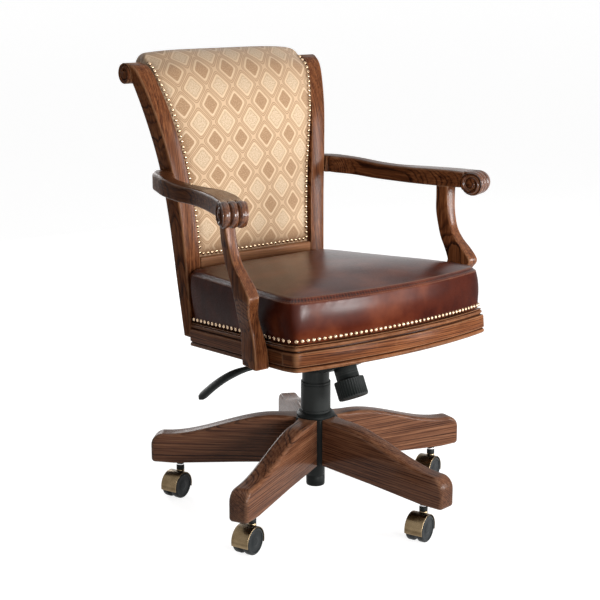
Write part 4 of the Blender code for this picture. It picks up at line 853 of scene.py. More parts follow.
def dress(piece, body, material, nodes=(), grain=None, sharp=42, gain=7.0):
    """Gives a piece its material, wear, body and the CAD nodes that it stands for.

    The grain is where its points lie in a board, as across, along and depth, or a function that gives it.
    """
    mesh = piece.data
    mesh.materials.clear()
    mesh.materials.append(material)
    mesh.shade_smooth()
    mesh.set_sharp_from_angle(angle=math.radians(sharp))
    write_edges(mesh, gain)
    if grain is not None:
        start = DRAWS.uniform((0.030, 0.0, -0.03), (0.080, 6.0, 0.03))
        board = grain(mesh_points(mesh)) if callable(grain) else grain
        write_values(mesh, "grain", board + start)
        write_values(mesh, "polish", handled_places(mesh, body))
    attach(piece, body)
    for node in nodes:
        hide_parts(node)
    return piece


def dress_copy(node, name, body, material, radius, segments=3, grain=None):
    """Dresses a copy of a CAD node with eased edges."""
    copy = eased_copy(node, radius, segments)
    copy.name = name
    dress(copy, body, material, [node], grain)


def dress_node(name, material):
    """Gives a CAD node that shows as it is its material and wear."""
    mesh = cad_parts[name].data
    mesh.materials.clear()
    mesh.materials.append(material)
    write_edges(mesh)


def along_x(points):
    return points[:, (1, 0, 2)]


def along_y(points):
    return points


def turned_about(angle, x=0.0, y=0.0, z=0.0):
    return Matrix.Translation((x, y, z)) @ Matrix.Rotation(angle, 4, "Z")


def leg_outline():
    """Side view of a leg, anticlockwise from its root's foot, with the rounding of its rims at each point."""
    foot = 0.008
    crown = 0.026
    under = [(LEG_ROOT, LEG_UNDERSIDE + LEG_RISE), (0.17, LEG_UNDERSIDE + LEG_RISE * 0.506),
             (LEG_RISE_START, LEG_UNDERSIDE)]
    points = [*under, *arc_points((LEG_REACH - foot, LEG_UNDERSIDE + foot), foot, -math.pi / 2, 0, 6),
              *arc_points((LEG_REACH - crown, LEG_TIP_TOP - crown), crown, 0, math.pi / 2, 12)]
    outer, inner = LEG_OGEE
    for t in np.linspace(0, 1, 33):
        points.append((outer + (inner - outer) * t, LEG_TIP_TOP + (LEG_TOP - LEG_TIP_TOP) * smooth_step(t)))
    points += [(0.07, LEG_TOP), (LEG_ROOT, LEG_TOP)]
    points = np.array(points)
    top_share = np.clip((points[:, 1] - LEG_UNDERSIDE) / 0.030, 0, 1)
    tip_share = np.clip((points[:, 0] - LEG_REACH + 0.030) / 0.028, 0, 1)
    radii = 0.0030 + 0.0050 * np.maximum(top_share, tip_share)
    radii[points[:, 0] < LEG_ROOT + 0.001] = 0.0008
    return points, radii


def make_legs():
    outline, radii = leg_outline()
    for k in range(LEG_COUNT):
        leg = rounded_slab(f"wood_leg_{k + 1}", outline, LEG_THICKNESS, radii)
        board = along_x(mesh_points(leg.data))
        move(leg, turned_about(FIRST_LEG_ANGLE + k * 2 * math.pi / LEG_COUNT))
        dress(leg, "base", LEG_WALNUT, [f"leg_{k + 1}"], board)
        tip = np.clip((board[:, 1] - LEG_REACH + 0.014) / 0.012, 0, 1)
        write_values(leg.data, "glaze", 0.42 * tip * tip)


def make_column():
    dress_copy("base_hub", "hub", "base", BLACK_METAL, 0.0016)
    profile = [(0, 0.038), (0.0175, 0.038), (0.0192, 0.0387), (0.0199, 0.0404), (0.020, 0.043),
               (0.020, 0.0600), (0.0196, 0.0605), (0.020, 0.0610), (0.020, 0.2605), (0.0192, 0.262),
               (0.0128, 0.262), (0.0128, 0.060), (0, 0.060)]
    dress(turned("column_foot", profile), "base", BLACK_METAL, ["gas_cylinder"])
    lower = tube_profile(0.0315, 0.1393, 0.269, (0.2085, 0.2635))
    dress(turned("lower_cover", lower), "base", BLACK_PLASTIC, ["column_cover_lower"])
    upper = tube_profile(0.02875, 0.165, 0.3097, (0.2935, 0.2965))
    dress(turned("upper_cover", upper), "lift", BLACK_PLASTIC, ["column_cover_upper"])
    for node in ("gas_piston", "tilt_shaft", "tension_screw", "tension_spring"):
        dress_node(node, STEEL)


def tube_profile(radius, foot, top, grooves):
    """A tube with eased rims and shallow grooves round it."""
    wall = 0.0020
    cut = 0.0007
    points = [(radius - wall, foot), (radius - 0.0006, foot), (radius, foot + 0.0006)]
    for height in grooves:
        points += [(radius, height - cut), (radius - cut, height - 0.0002), (radius - cut, height + 0.0002),
                   (radius, height + cut)]
    points += [(radius, top - 0.0012), (radius - 0.0004, top - 0.0003), (radius - 0.0010, top),
               (radius - wall, top), (radius - wall, foot)]
    return points


def caster_parts():
    """Shapes of one caster about its stem line: hood, wheel, stem and ring."""
    half = CASTER_WIDTH / 2
    rim = 0.0012
    section = rounded_ring([(-half, 0), (half, 0), (half, -HOOD_WALL), (-half, -HOOD_WALL)],
                           (rim, rim, 0.0004, 0.0004), 3)
    rings = []
    for angle in np.linspace(*HOOD_ARC, 49):
        radius = HOOD_RADIUS + section[:, 1]
        rings.append(np.column_stack((radius * math.cos(angle) - CASTER_TRAIL, section[:, 0],
                                      radius * math.sin(angle) + AXLE_HEIGHT)))
    shell = loft("hood_shell", rings)
    web_line = arc_points((-CASTER_TRAIL, AXLE_HEIGHT), HOOD_RADIUS - HOOD_WALL / 2, *HOOD_ARC, 40)
    web = rounded_slab("hood_web", web_line, CASTER_WEB, np.full(len(web_line), 0.0006), 2)
    boss_foot = HOOD_TOP - 0.012
    profile = [(0, boss_foot), (0.0085, boss_foot), (0.0085, HOOD_TOP - 0.0008), (0.0078, HOOD_TOP),
               (0, HOOD_TOP)]
    hood = joined("hood", [shell, web, turned("hood_boss", profile, 32)])
    width = (CASTER_WIDTH - CASTER_WEB) / 2 - 0.0005
    face = width - 0.0012
    profile = [(0, 0), (WHEEL_RADIUS - 0.0016, 0), (WHEEL_RADIUS - 0.0004, 0.0005), (WHEEL_RADIUS, 0.0016),
               (WHEEL_RADIUS, width - 0.0032), (WHEEL_RADIUS - 0.0006, width - 0.0016),
               (WHEEL_RADIUS - 0.0020, width - 0.0005), (WHEEL_RADIUS - 0.0036, width),
               (WHEEL_RADIUS - 0.0048, width), (WHEEL_RADIUS - 0.0056, face), (0.0100, face - 0.0006),
               (0.0092, face - 0.0002), (0.0070, face), (0, face + 0.0002)]
    wheel = turned("wheel", profile, 60)
    collar_foot = HOOD_TOP + TOUCH
    collar_top = collar_foot + 0.010
    under_leg = LEG_UNDERSIDE - 0.0004
    stem_top = LEG_UNDERSIDE + 0.034
    profile = [(0, 0.034), (0.0035, 0.034), (0.0035, collar_foot), (0.0079, collar_foot),
               (0.0085, collar_foot + 0.0006), (0.0085, collar_top - 0.0010), (0.0078, collar_top),
               (0.0058, collar_top), (0.0058, collar_top + 0.0036), (0.0076, collar_top + 0.0036),
               (0.0085, collar_top + 0.0046), (0.0085, under_leg), (0.0055, under_leg), (0.0055, stem_top),
               (0, stem_top)]
    stem = turned("stem", profile, 40)
    section = [(0.0059, 0.0001), (0.0072, 0.0001), (0.0076, 0.0008), (0.0076, 0.0028), (0.0072, 0.0035),
               (0.0059, 0.0035), (0.0059, 0.0001)]
    ring = turned("ring", [(radius, collar_top + height) for radius, height in section], 40)
    return hood, wheel, stem, ring


def copy_of(piece, name):
    return show(bpy.data.objects.new(name, piece.data.copy()))


def make_casters():
    shapes = caster_parts()
    hood, wheel, stem, ring = shapes
    for number in range(1, LEG_COUNT + 1):
        angle = FIRST_LEG_ANGLE + (number - 1) * 2 * math.pi / LEG_COUNT
        stand = turned_about(CASTER_YAW, CASTER_CIRCLE * math.cos(angle), CASTER_CIRCLE * math.sin(angle))
        own = copy_of(hood, f"brass_hood_{number}")
        lines = mesh_points(own.data)
        # Painted reflection on the brass hood: dark bands over its top, two narrow ones low on its curve and
        # along its rims stand in for a dark room mirrored in the metal.
        turn = np.degrees(np.arctan2(lines[:, 2] - AXLE_HEIGHT, lines[:, 0] + CASTER_TRAIL)) % 360
        rim = np.exp(-((CASTER_WIDTH / 2 - np.abs(lines[:, 1])) / 0.0035) ** 2)
        painted_reflection = (np.exp(-((turn - 92) / 30) ** 2) + 0.55 * np.exp(-((turn - 178) / 4) ** 2)
                  + 0.5 * np.exp(-((turn - 198) / 6) ** 2) + 0.45 * rim)
        write_values(own.data, "painted_reflection", np.clip(painted_reflection, 0, 1))
        dress(move(own, stand), f"caster_{number}", HOOD_BRASS, [f"caster_hood_{number}"],
              lines)
        dress(move(copy_of(stem, f"stem_{number}"), stand), "base", BLACK_METAL,
              [f"caster_stem_{number}"])
        dress(move(copy_of(ring, f"stem_ring_{number}"), stand), "base", STEEL)
        for side, sign in SIDES:
            place = Matrix.Translation((-CASTER_TRAIL, sign * (CASTER_WEB / 2 + 0.0005), AXLE_HEIGHT))
            face_out = Matrix.Rotation(-sign * math.pi / 2, 4, "X")
            own = move(copy_of(wheel, f"wheel_{side}_{number}"), stand @ place @ face_out)
            body = f"wheel_{side}_{number}"
            dress(own, body, WHEEL_PLASTIC, ["caster_" + body])
        dress_node(f"caster_axle_{number}", STEEL)
    for shape in shapes:
        bpy.data.objects.remove(shape, do_unlink=True)


def make_mechanism():
    dress_copy("mechanism_housing", "housing", "swivel", BLACK_METAL, 0.0025)
    dress_copy("tilt_plate", "plate", "seat", BLACK_METAL, 0.0008, 2)
    make_knob()
    make_lever()


def make_knob():
    """A neck and a ribbed grip, hollow above for the spring."""
    steps = 144
    grip = 0.0312
    profile = [(0, -0.0553), (0.0063, -0.0553), (0.0063, -0.0453), (0.0200, -0.0453), (0.0200, -0.0003),
               (0.0232, -0.0003), (0.0240, -0.0011), (0.0240, -0.0120), (0.0236, -0.0123), (0.0236, -0.0129),
               (0.0240, -0.0132), (0.0240, -0.0250), (0.0298, -0.0253), (grip, -0.0268), (grip, -0.0285),
               (grip, -0.0595), (grip, -0.0620), (0.0300, -0.0643), (0.0270, -0.0652), (0.0235, -0.0650),
               (0.0225, -0.0640), (0, -0.0638)]
    knob = turned("knob", profile, steps)
    points = mesh_points(knob.data)
    radius = np.hypot(points[:, 0], points[:, 1])
    angle = np.arctan2(points[:, 1], points[:, 0])
    ribbed = (np.abs(radius - grip) < 1e-5) & (points[:, 2] < -0.028) & (points[:, 2] > -0.0598)
    rib = 0.00085 * np.cos(36 * angle)
    scale = np.where(ribbed, (radius - 0.0006 + rib) / np.maximum(radius, 1e-9), 1.0)
    points[:, 0] *= scale
    points[:, 1] *= scale
    set_points(knob.data, points)
    move(knob, Matrix.Translation(KNOB_SEAT) @ Matrix.Rotation(-KNOB_LEAN, 4, "X"))
    dress(knob, "knob", BLACK_PLASTIC, ["tension_knob"], sharp=50)


def make_lever():
    """A rod out of the housing's side that droops into a flat paddle."""
    root, bend, tip = -0.026, -0.175, -0.297
    rings = []
    turns = np.arange(24) * 2 * math.pi / 24
    for t in np.linspace(0, 1, 61):
        x = root + (tip - root) * t
        droop = max(0.0, (bend - x) / (bend - tip))
        z = 0.326 - 0.0415 * droop * droop
        spread = smooth_step(min(1.0, 1.6 * max(0.0, (bend + 0.030 - x) / (bend - tip))))
        end = min(1.0, (x - tip) / 0.012)
        blunt = math.sqrt(max(0.03, 1 - (1 - end) ** 2))
        width = (0.0045 + 0.0085 * spread) * blunt
        height = (0.0045 + 0.0013 * spread) * blunt
        rings.append(np.column_stack((np.full(24, x), width * np.cos(turns), z + height * np.sin(turns))))
    dress(loft("lever", rings), "lever", BLACK_PLASTIC, ["lift_lever"])


SEAT_MATRIX = Matrix.Translation((0, 0, SEAT_HEIGHT)) @ Matrix.Rotation(-SEAT_PITCH, 4, "X")


def on_seat(points):
    """Points given along and above the pitched seat frame, in the chair's frame."""
    turn = np.array(SEAT_MATRIX)
    return points @ turn[:3, :3].T + turn[:3, 3]


def rear_along(y, above):
    return (y - above * math.sin(SEAT_PITCH)) / math.cos(SEAT_PITCH)


def eased_path(corners, radii, spacing=0.004):
    """A path through corners, each drawn round by a length along its sides."""
    points = [corners[0]]
    for before, corner, after, radius in zip(corners, corners[1:], corners[2:], radii):
        back = before - corner
        ahead = after - corner
        start = corner + back / np.linalg.norm(back) * radius
        end = corner + ahead / np.linalg.norm(ahead) * radius
        for t in np.linspace(0, 1, 9):
            points.append((1 - t) ** 2 * start + 2 * t * (1 - t) * corner + t ** 2 * end)
    points.append(corners[-1])
    return resampled(np.array(points), spacing)


def softened(path, spread):
    """A path of evenly spaced points with its corners drawn round over a length, its ends kept."""
    spacing = np.linalg.norm(path[1] - path[0])
    reach = int(3 * spread / spacing)
    weights = np.exp(-0.5 * (np.arange(-reach, reach + 1) * spacing / spread) ** 2)
    weights /= weights.sum()
    before = 2 * path[0] - path[reach:0:-1]
    after = 2 * path[-1] - path[-2:-reach - 2:-1]
    long = np.vstack((before, path, after))
    return np.column_stack([np.convolve(long[:, k], weights, "valid") for k in range(path.shape[1])])


def seat_path(spread):
    """Plan of the seat's outer edge from the right-hand rear end round the front to the left-hand one."""
    corner_x, corner_y = SEAT_CORNER
    rise = SEAT_FRONT - corner_y
    radius = (corner_x ** 2 + rise ** 2) / (2 * rise)
    half = math.asin(corner_x / radius)
    bow = arc_points((0, radius - SEAT_FRONT), radius, -math.pi / 2 - half, -math.pi / 2 + half, 48)
    rear = rear_along(REAR_Y, 0)
    cant_x, cant_y = SEAT_CANT
    right = [(-SEAT_REAR_X, rear), (-cant_x, -cant_y)]
    left = [(cant_x, -cant_y), (SEAT_REAR_X, rear)]
    corners = np.vstack((right, bow, left))
    return resampled(softened(resampled(corners, 0.002), spread), 0.003)


def rail_section():
    """Moulded outline of a seat rail as (inset, height), from its inner foot round the outside."""
    outline = [(RAIL_THICKNESS, 0.0), (0.0045, 0.0)]
    outline += list(arc_points((0.0045, 0.0043), 0.0043, -math.pi / 2, -math.pi * 1.32, 7)[1:])
    outline += [(0.0036, 0.0092), (0.0034, 0.0102), (0.0008, 0.0112), (0.0002, 0.0120), (0.0, 0.0135),
                (0.0, 0.0340), (0.0003, 0.0356), (0.0012, 0.0366), (0.0042, 0.0372), (0.0062, 0.0380),
                (0.0064, 0.0398)]
    outline += list(arc_points((0.0066, 0.0436), 0.0036, math.pi * 1.38, math.pi * 0.62, 7))
    outline += [(0.0062, 0.0474), (0.0058, 0.0482), (0.0046, 0.0488), (0.0042, 0.0496), (0.0046, RAIL_HEIGHT),
                (RAIL_THICKNESS, RAIL_HEIGHT)]
    return np.array(outline)


def make_rails():
    path = seat_path(RAIL_CORNER_SPREAD)
    inward = path_normals(path)
    along = lengths_along(path)
    insets, heights = rail_section().T
    rings = np.stack([np.column_stack((x + in_x * insets, y + in_y * insets, heights))
                      for (x, y), (in_x, in_y) in zip(path, inward)])
    for end in (0, -1):
        rings[end, :, 1] = rear_along(REAR_Y, rings[end, :, 2])
    cant_x, cant_y = SEAT_CANT
    cuts = [np.argmin(np.hypot(path[:, 0] - sign * cant_x, path[:, 1] + cant_y)) for sign in (-1, 1)]
    spans = (("right", 0, cuts[0]), ("front", cuts[0], cuts[1]), ("left", cuts[1], len(path) - 1))
    for side, start, end in spans:
        own = rings[start:end + 1].copy()
        for edge, inner in ((0, 1), (-1, -2)):
            way = own[inner] - own[edge]
            own[edge] += TOUCH / 2 * way / np.linalg.norm(way, axis=1)[:, None]
        board = np.vstack([np.column_stack((heights, np.full(len(heights), place), insets))
                           for place in along[start:end + 1]])
        rail = loft(f"wood_{side}_rail", on_seat(own.reshape(-1, 3)).reshape(own.shape))
        dress(rail, "seat", WALNUT, [f"seat_{side}_rail"], board, sharp=34)
    dress_copy("seat_rear_rail", "wood_rear_rail", "seat", WALNUT, 0.002, grain=along_x)
    dress_copy("seat_deck", "deck", "seat", PLYWOOD, 0.001, 2, along_y)


def cushion_rear(above):
    """How far back the cushion's leaning rear lies at a height."""
    return rear_along(REAR_Y + CUSHION_REAR_LEAN * (above - RAIL_HEIGHT), above)


def cushion_plan(inset, above):
    """Closed plan of the cushion at a height: the seat's edge drawn in, with a straight rear edge."""
    lift = np.clip((above - NAIL_HEIGHT) / (SEAM_FRONT - NAIL_HEIGHT), 0, 1)
    path = seat_path(CUSHION_CORNER_SPREAD + CUSHION_TOP_SPREAD * lift)
    path = path + path_normals(path) * inset
    rear = cushion_rear(above) - 0.0005
    path = path[path[:, 1] < rear - 0.014]
    half = SEAT_REAR_X - inset
    corners = np.array([path[-1], (half, rear), (-half, rear), path[0]])
    across = eased_path(corners, (0.012, 0.012), 0.006)
    return np.vstack((path, across[1:-1]))


def resample_closed(plan, count):
    loop = np.vstack((plan, plan[:1]))
    along = lengths_along(loop)
    wanted = np.linspace(0, along[-1], count, endpoint=False)
    return np.column_stack([np.interp(wanted, along, loop[:, k]) for k in range(2)])


def seam_height(y):
    rear = rear_along(REAR_Y, SEAM_REAR)
    return SEAM_FRONT + (SEAM_REAR - SEAM_FRONT) * (y + SEAT_FRONT) / (rear + SEAT_FRONT)


def cushion_blank():
    """The cushion before it is filled, a little slack, and the line of its top seam."""
    rings = []
    for inset, above in CUSHION_STATIONS:
        plan = resample_closed(cushion_plan(inset, above), CUSHION_STEPS)
        lift = max(0.0, above - CUSHION_SHOULDER) / (SEAM_FRONT - CUSHION_SHOULDER)
        rise = lift * (seam_height(plan[:, 1]) - SEAM_FRONT)
        rings.append(np.column_stack((plan, above + rise)))
    seam = resample_closed(cushion_plan(SEAM_INSET, SEAM_REAR), CUSHION_STEPS)
    seam_line = np.column_stack((seam, seam_height(seam[:, 1]) + SEAM_LIFT))
    rings.append(seam_line)
    middle = seam.mean(0)
    for share in CUSHION_CROWN_SHARES:
        line = middle + (seam - middle) * share
        height = seam_height(line[:, 1]) + SEAM_LIFT + CUSHION_CROWN * (1 - share ** 3.2)
        rings.append(np.column_stack((line, height)))
    rings = np.array(rings)
    blank = loft("leather_seat", on_seat(rings.reshape(-1, 3)).reshape(rings.shape))
    return blank, seam_line


def seat_frame_points(points):
    """Points of the chair's frame given along and above the pitched seat frame."""
    turn = np.array(SEAT_MATRIX.inverted())
    return points @ turn[:3, :3].T + turn[:3, 3]


def voxel_remesh(piece, size):
    remesh = piece.modifiers.new("remesh", "REMESH")
    remesh.mode = "VOXEL"
    remesh.voxel_size = size
    return apply_modifiers(piece)


def fill_with_cloth(piece, pinned, pressure, most):
    """Swells a piece as stuffed cloth from its pinned points, no point further than a distance."""
    start = mesh_points(piece.data)
    group = piece.vertex_groups.new(name="pinned")
    for weight in (1.0, 0.75, 0.5, 0.25):
        chosen = np.flatnonzero((pinned > weight - 0.125) & (pinned <= weight + 0.125))
        if len(chosen):
            group.add([int(i) for i in chosen], weight, "REPLACE")
    cloth = piece.modifiers.new("cloth", "CLOTH")
    cloth.settings.use_pressure = True
    cloth.settings.uniform_pressure_force = pressure
    cloth.settings.vertex_group_mass = "pinned"
    cloth.settings.effector_weights.gravity = 0.0
    cloth.settings.quality = 5
    cloth.settings.mass = 0.4
    cloth.settings.tension_stiffness = 25
    cloth.settings.compression_stiffness = 25
    cloth.settings.bending_stiffness = 4
    scene = bpy.context.scene
    for number in range(1, CLOTH_FRAMES + 1):
        scene.frame_set(number)
    apply_modifiers(piece)
    scene.frame_set(1)
    moved = mesh_points(piece.data) - start
    far = np.linalg.norm(moved, axis=1)
    moved *= np.minimum(1.0, most / np.maximum(far, 1e-9))[:, None]
    set_points(piece.data, start + moved)


def smooth(piece, times):
    bm = bmesh.new()
    bm.from_mesh(piece.data)
    for _ in range(times):
        bmesh.ops.smooth_vert(bm, verts=bm.verts, factor=0.5, use_axis_x=True, use_axis_y=True,
                              use_axis_z=True)
    bm.to_mesh(piece.data)
    bm.free()


def subdivided(piece):
    piece.modifiers.new("finer", "SUBSURF").levels = 1
    return apply_modifiers(piece)


def make_cushion():
    cushion, seam_line = cushion_blank()
    voxel_remesh(cushion, CUSHION_VOXEL)
    smooth(cushion, 3)
    local = seat_frame_points(mesh_points(cushion.data))
    plan_rear = rear_along(REAR_Y, 0.1)
    pinned = np.zeros(len(local))
    pinned[local[:, 2] < 0.066] = 1.0
    pinned[local[:, 1] > plan_rear - 0.030] = 0.5
    pinned[local[:, 1] > plan_rear - 0.008] = 1.0
    away = loop_distance(local, seam_line)
    pinned[(away < 0.006) & (pinned < 0.75)] = 0.75
    fill_with_cloth(cushion, pinned, SEAT_PRESSURE, SEAT_SWELL)
    subdivided(cushion)
    local = seat_frame_points(mesh_points(cushion.data))
    local[:, 1] = np.minimum(local[:, 1], cushion_rear(local[:, 2]) - 0.0004)
    local[:, 2] = np.maximum(local[:, 2], RAIL_HEIGHT + TOUCH)
    local = sew_groove(cushion, local, seam_line)
    set_points(cushion.data, on_seat(local))
    dress(cushion, "seat", LEATHER, ["seat_cushion"], sharp=80, gain=9.0)
    write_values(cushion.data, "polish", rubbed_places(cushion, local))
    # Painted sheen and shade over rubbed dye, written for the leather's colour patches.
    write_values(cushion.data, "burnish_and_painted_light", burnish_and_painted_light_places(local))
    make_stitches(cushion, seam_line)
    make_seat_nails()


def burnish_and_painted_light_places(local):
    """How far the leather is lightened or darkened: lighter across its middle, which is dye rubbed paler by
    use with painted sheen over it, lighter at the right hand front corner as a painted highlight, and darker
    towards the left hand end as painted shade.
    """
    x, y, _ = local.T
    corner_x, corner_y = PAINTED_HIGHLIGHT_CORNER
    across = (x + PAINTED_SHEEN_AND_BURNISH_SHIFT) / PAINTED_SHEEN_AND_BURNISH_SPREAD
    from_corner = np.hypot(x - corner_x, y - corner_y) / PAINTED_SHEEN_AND_BURNISH_SPREAD
    painted_shade_end = np.clip((x - 0.02) / 0.12, 0, 1)
    return 0.095 * np.exp(-across * across) + 0.085 * np.exp(-from_corner ** 2) - 0.03 * painted_shade_end - 0.020


def rubbed_places(cushion, local):
    """How far the leather is polished by use: its top and the upper part of its front."""
    normals = mesh_normals(cushion.data) @ np.array(SEAT_MATRIX)[:3, :3]
    top = np.clip((normals[:, 2] - 0.35) / 0.45, 0, 1)
    front = np.clip((-normals[:, 1] - 0.45) / 0.35, 0, 1) * np.clip((local[:, 2] - 0.070) / 0.035, 0, 1)
    near_corner = np.clip((0.05 - local[:, 0]) / 0.20, 0.10, 1)
    return np.maximum(top, front * near_corner)


def loop_distance(points, loop):
    """Distance from each point to a closed loop of close points."""
    best = np.full(len(points), np.inf)
    for start in range(0, len(points), 4000):
        block = points[start:start + 4000]
        best[start:start + 4000] = np.sqrt(((block[:, None, :] - loop[None]) ** 2).sum(2)).min(1)
    return best


def sew_groove(piece, local, seam_line):
    """Draws the leather in along its top seam."""
    normals = mesh_normals(piece.data) @ np.array(SEAT_MATRIX)[:3, :3]
    away = loop_distance(local, seam_line)
    depth = 0.0021 * np.exp(-(away / 0.0038) ** 2) - 0.0005 * np.exp(-((away - 0.0085) / 0.004) ** 2)
    return local - normals * depth[:, None]


def make_stitches(cushion, seam_line):
    """Two rows of short stitches, one each side of the top seam."""
    surface = BVHTree.FromObject(cushion, bpy.context.evaluated_depsgraph_get())
    inward = seam_line.mean(0)[:2] - seam_line[:, :2]
    inward /= np.linalg.norm(inward, axis=1)[:, None]
    turns = np.arange(THREAD_STEPS) * 2 * math.pi / THREAD_STEPS
    points = []
    faces = []
    for shift_in, shift_up in STITCH_ROWS:
        line = seam_line.copy()
        line[:, :2] += inward * shift_in
        line[:, 2] += shift_up
        row = resampled(np.vstack((line, line[:1])), STITCH_PITCH / 4)
        kept = row[row[:, 1] < rear_along(REAR_Y, 0.13) - 0.02]
        for i in range(0, len(kept) - 3, 4):
            ends = []
            for spot in on_seat(kept[[i, i + 3]]):
                hit, normal, *_ = surface.find_nearest(Vector(spot))
                ends.append(np.array(hit + normal * THREAD_RADIUS * 0.35))
            reach = ends[1] - ends[0]
            length = np.linalg.norm(reach)
            if length > 2 * STITCH_LENGTH:
                continue
            side = np.cross(reach / length, np.array(normal))
            up = np.cross(side, reach / length)
            faces += tube_faces(len(THREAD_RINGS), THREAD_STEPS, len(points))
            for share, size in THREAD_RINGS:
                for turn in turns:
                    out = math.cos(turn) * side + math.sin(turn) * up
                    points.append(ends[0] + reach * share + THREAD_RADIUS * size * out)
    dress(new_piece("seat_stitches", points, faces), "seat", THREAD)


def dome_nails(name, places, normals):
    """One mesh of domed nail heads at places on a surface."""
    turns = np.arange(NAIL_STEPS) * 2 * math.pi / NAIL_STEPS
    points = []
    faces = []
    for place, normal in zip(places, normals):
        normal = normal / np.linalg.norm(normal)
        side = np.cross(normal, (0.0, 0.0, 1.0) if abs(normal[2]) < 0.9 else (1.0, 0.0, 0.0))
        side /= np.linalg.norm(side)
        up = np.cross(normal, side)
        tilt = DRAWS.uniform(-NAIL_LEAN, NAIL_LEAN, 2)
        base = len(points)
        for share, height in NAIL_RINGS:
            for turn in turns:
                flat = NAIL_RADIUS * share * (math.cos(turn) * side + math.sin(turn) * up)
                lean = NAIL_RADIUS * share * (math.cos(turn) * tilt[0] + math.sin(turn) * tilt[1])
                points.append(place + flat + normal * (height + lean))
        top = len(points)
        points.append(place + normal * NAIL_DOME)
        faces += grid_faces(len(NAIL_RINGS), NAIL_STEPS, True, base)
        last = top - NAIL_STEPS
        faces += [(last + j, last + (j + 1) % NAIL_STEPS, top) for j in range(NAIL_STEPS)]
        faces.append(tuple(reversed(range(base, base + NAIL_STEPS))))
    return new_piece(name, points, faces)


def nail_spots(path):
    """Spots for nails along a path, closer on the front than on the sides."""
    sideways = np.clip((np.abs(path_normals(path)[:, 0]) - 0.5) / 0.4, 0, 1)
    pitch = NAIL_PITCH + (SIDE_NAIL_PITCH - NAIL_PITCH) * sideways
    steps = np.linalg.norm(np.diff(path, axis=0), axis=1) * 2 / (pitch[1:] + pitch[:-1])
    counted = np.concatenate(((0,), np.cumsum(steps)))
    marks = np.linspace(0, counted[-1], round(counted[-1]) + 1)
    return np.column_stack([np.interp(marks, counted, path[:, axis]) for axis in (0, 1)])


def make_seat_nails():
    path = seat_path(CUSHION_CORNER_SPREAD)
    path = path + path_normals(path) * CUSHION_INSET
    rear = rear_along(REAR_Y, NAIL_HEIGHT) - 0.008
    path = nail_spots(path[path[:, 1] < rear])
    places = on_seat(np.column_stack((path, np.full(len(path), NAIL_HEIGHT))))
    outward = np.column_stack((-path_normals(path), np.zeros(len(path)))) @ np.array(SEAT_MATRIX)[:3, :3].T
    nails = dome_nails("seat_nails", places, outward)
    dress(nails, "seat", NAIL_BRASS, ["seat_nail_trim"], sharp=60)


POST_ROWS = spline(POST_STATIONS, 12)


def front_line_y(height):
    return np.interp(height, POST_ROWS[:, 1], POST_ROWS[:, 0])


def post_inner_x(height):
    return np.interp(height, POST_ROWS[:, 1], POST_ROWS[:, 2]) - POST_WIDTH


def post_outer_x(height):
    return np.interp(height, POST_ROWS[:, 1], POST_ROWS[:, 2])


def post_board(sign):
    """Where a point lies in the straight board that a post is sawn from."""
    lean = math.atan2(POST_STATIONS[-2][0] - POST_STATIONS[0][0], POST_STATIONS[-2][1] - POST_STATIONS[0][1])

    def board(points):
        x, y, z = points.T
        return np.column_stack((sign * x - 0.19, z * math.cos(lean) + y * math.sin(lean),
                                y * math.cos(lean) - z * math.sin(lean) - 0.115))
    return board


def volute(name, radius, junction, turns, depth, rim, proud):
    """A round boss whose end is carved with a spiral, along +Z with its end face near zero."""
    count = 120
    angles = np.arange(count) * 2 * math.pi / count
    shares = np.concatenate((np.linspace(0.02, 1.0, 34), [1.0, 1.0]))
    rings = []
    groove = 0.090 * radius
    for i, share in enumerate(shares):
        r = share * radius
        height = np.zeros(count)
        for turn in range(int(math.ceil(turns)) + 1):
            wound = np.mod(junction - angles, 2 * math.pi) + 2 * math.pi * turn
            line = radius * (1.0 - 0.70 * wound / (2 * math.pi * turns))
            reach = np.where(wound <= 2 * math.pi * turns, 1.0, 0.0)
            height = np.minimum(height, -depth * reach * np.exp(-((r - line) / (1.25 * groove)) ** 2))
        eye = 0.24 * radius
        if r < eye:
            height = np.maximum(height, 0.0008 * math.cos(r / eye * math.pi / 2))
        if share > 0.9:
            ease = (share - 0.9) / 0.1
            height = height - rim * (1 - math.sqrt(max(0.0, 1 - ease * ease)))
        if i >= len(shares) - 2:
            height = np.full(count, -rim - (i - len(shares) + 3) * proud / 2)
        rings.append(np.column_stack((r * np.cos(angles), r * np.sin(angles), height)))
    return loft(name, rings)


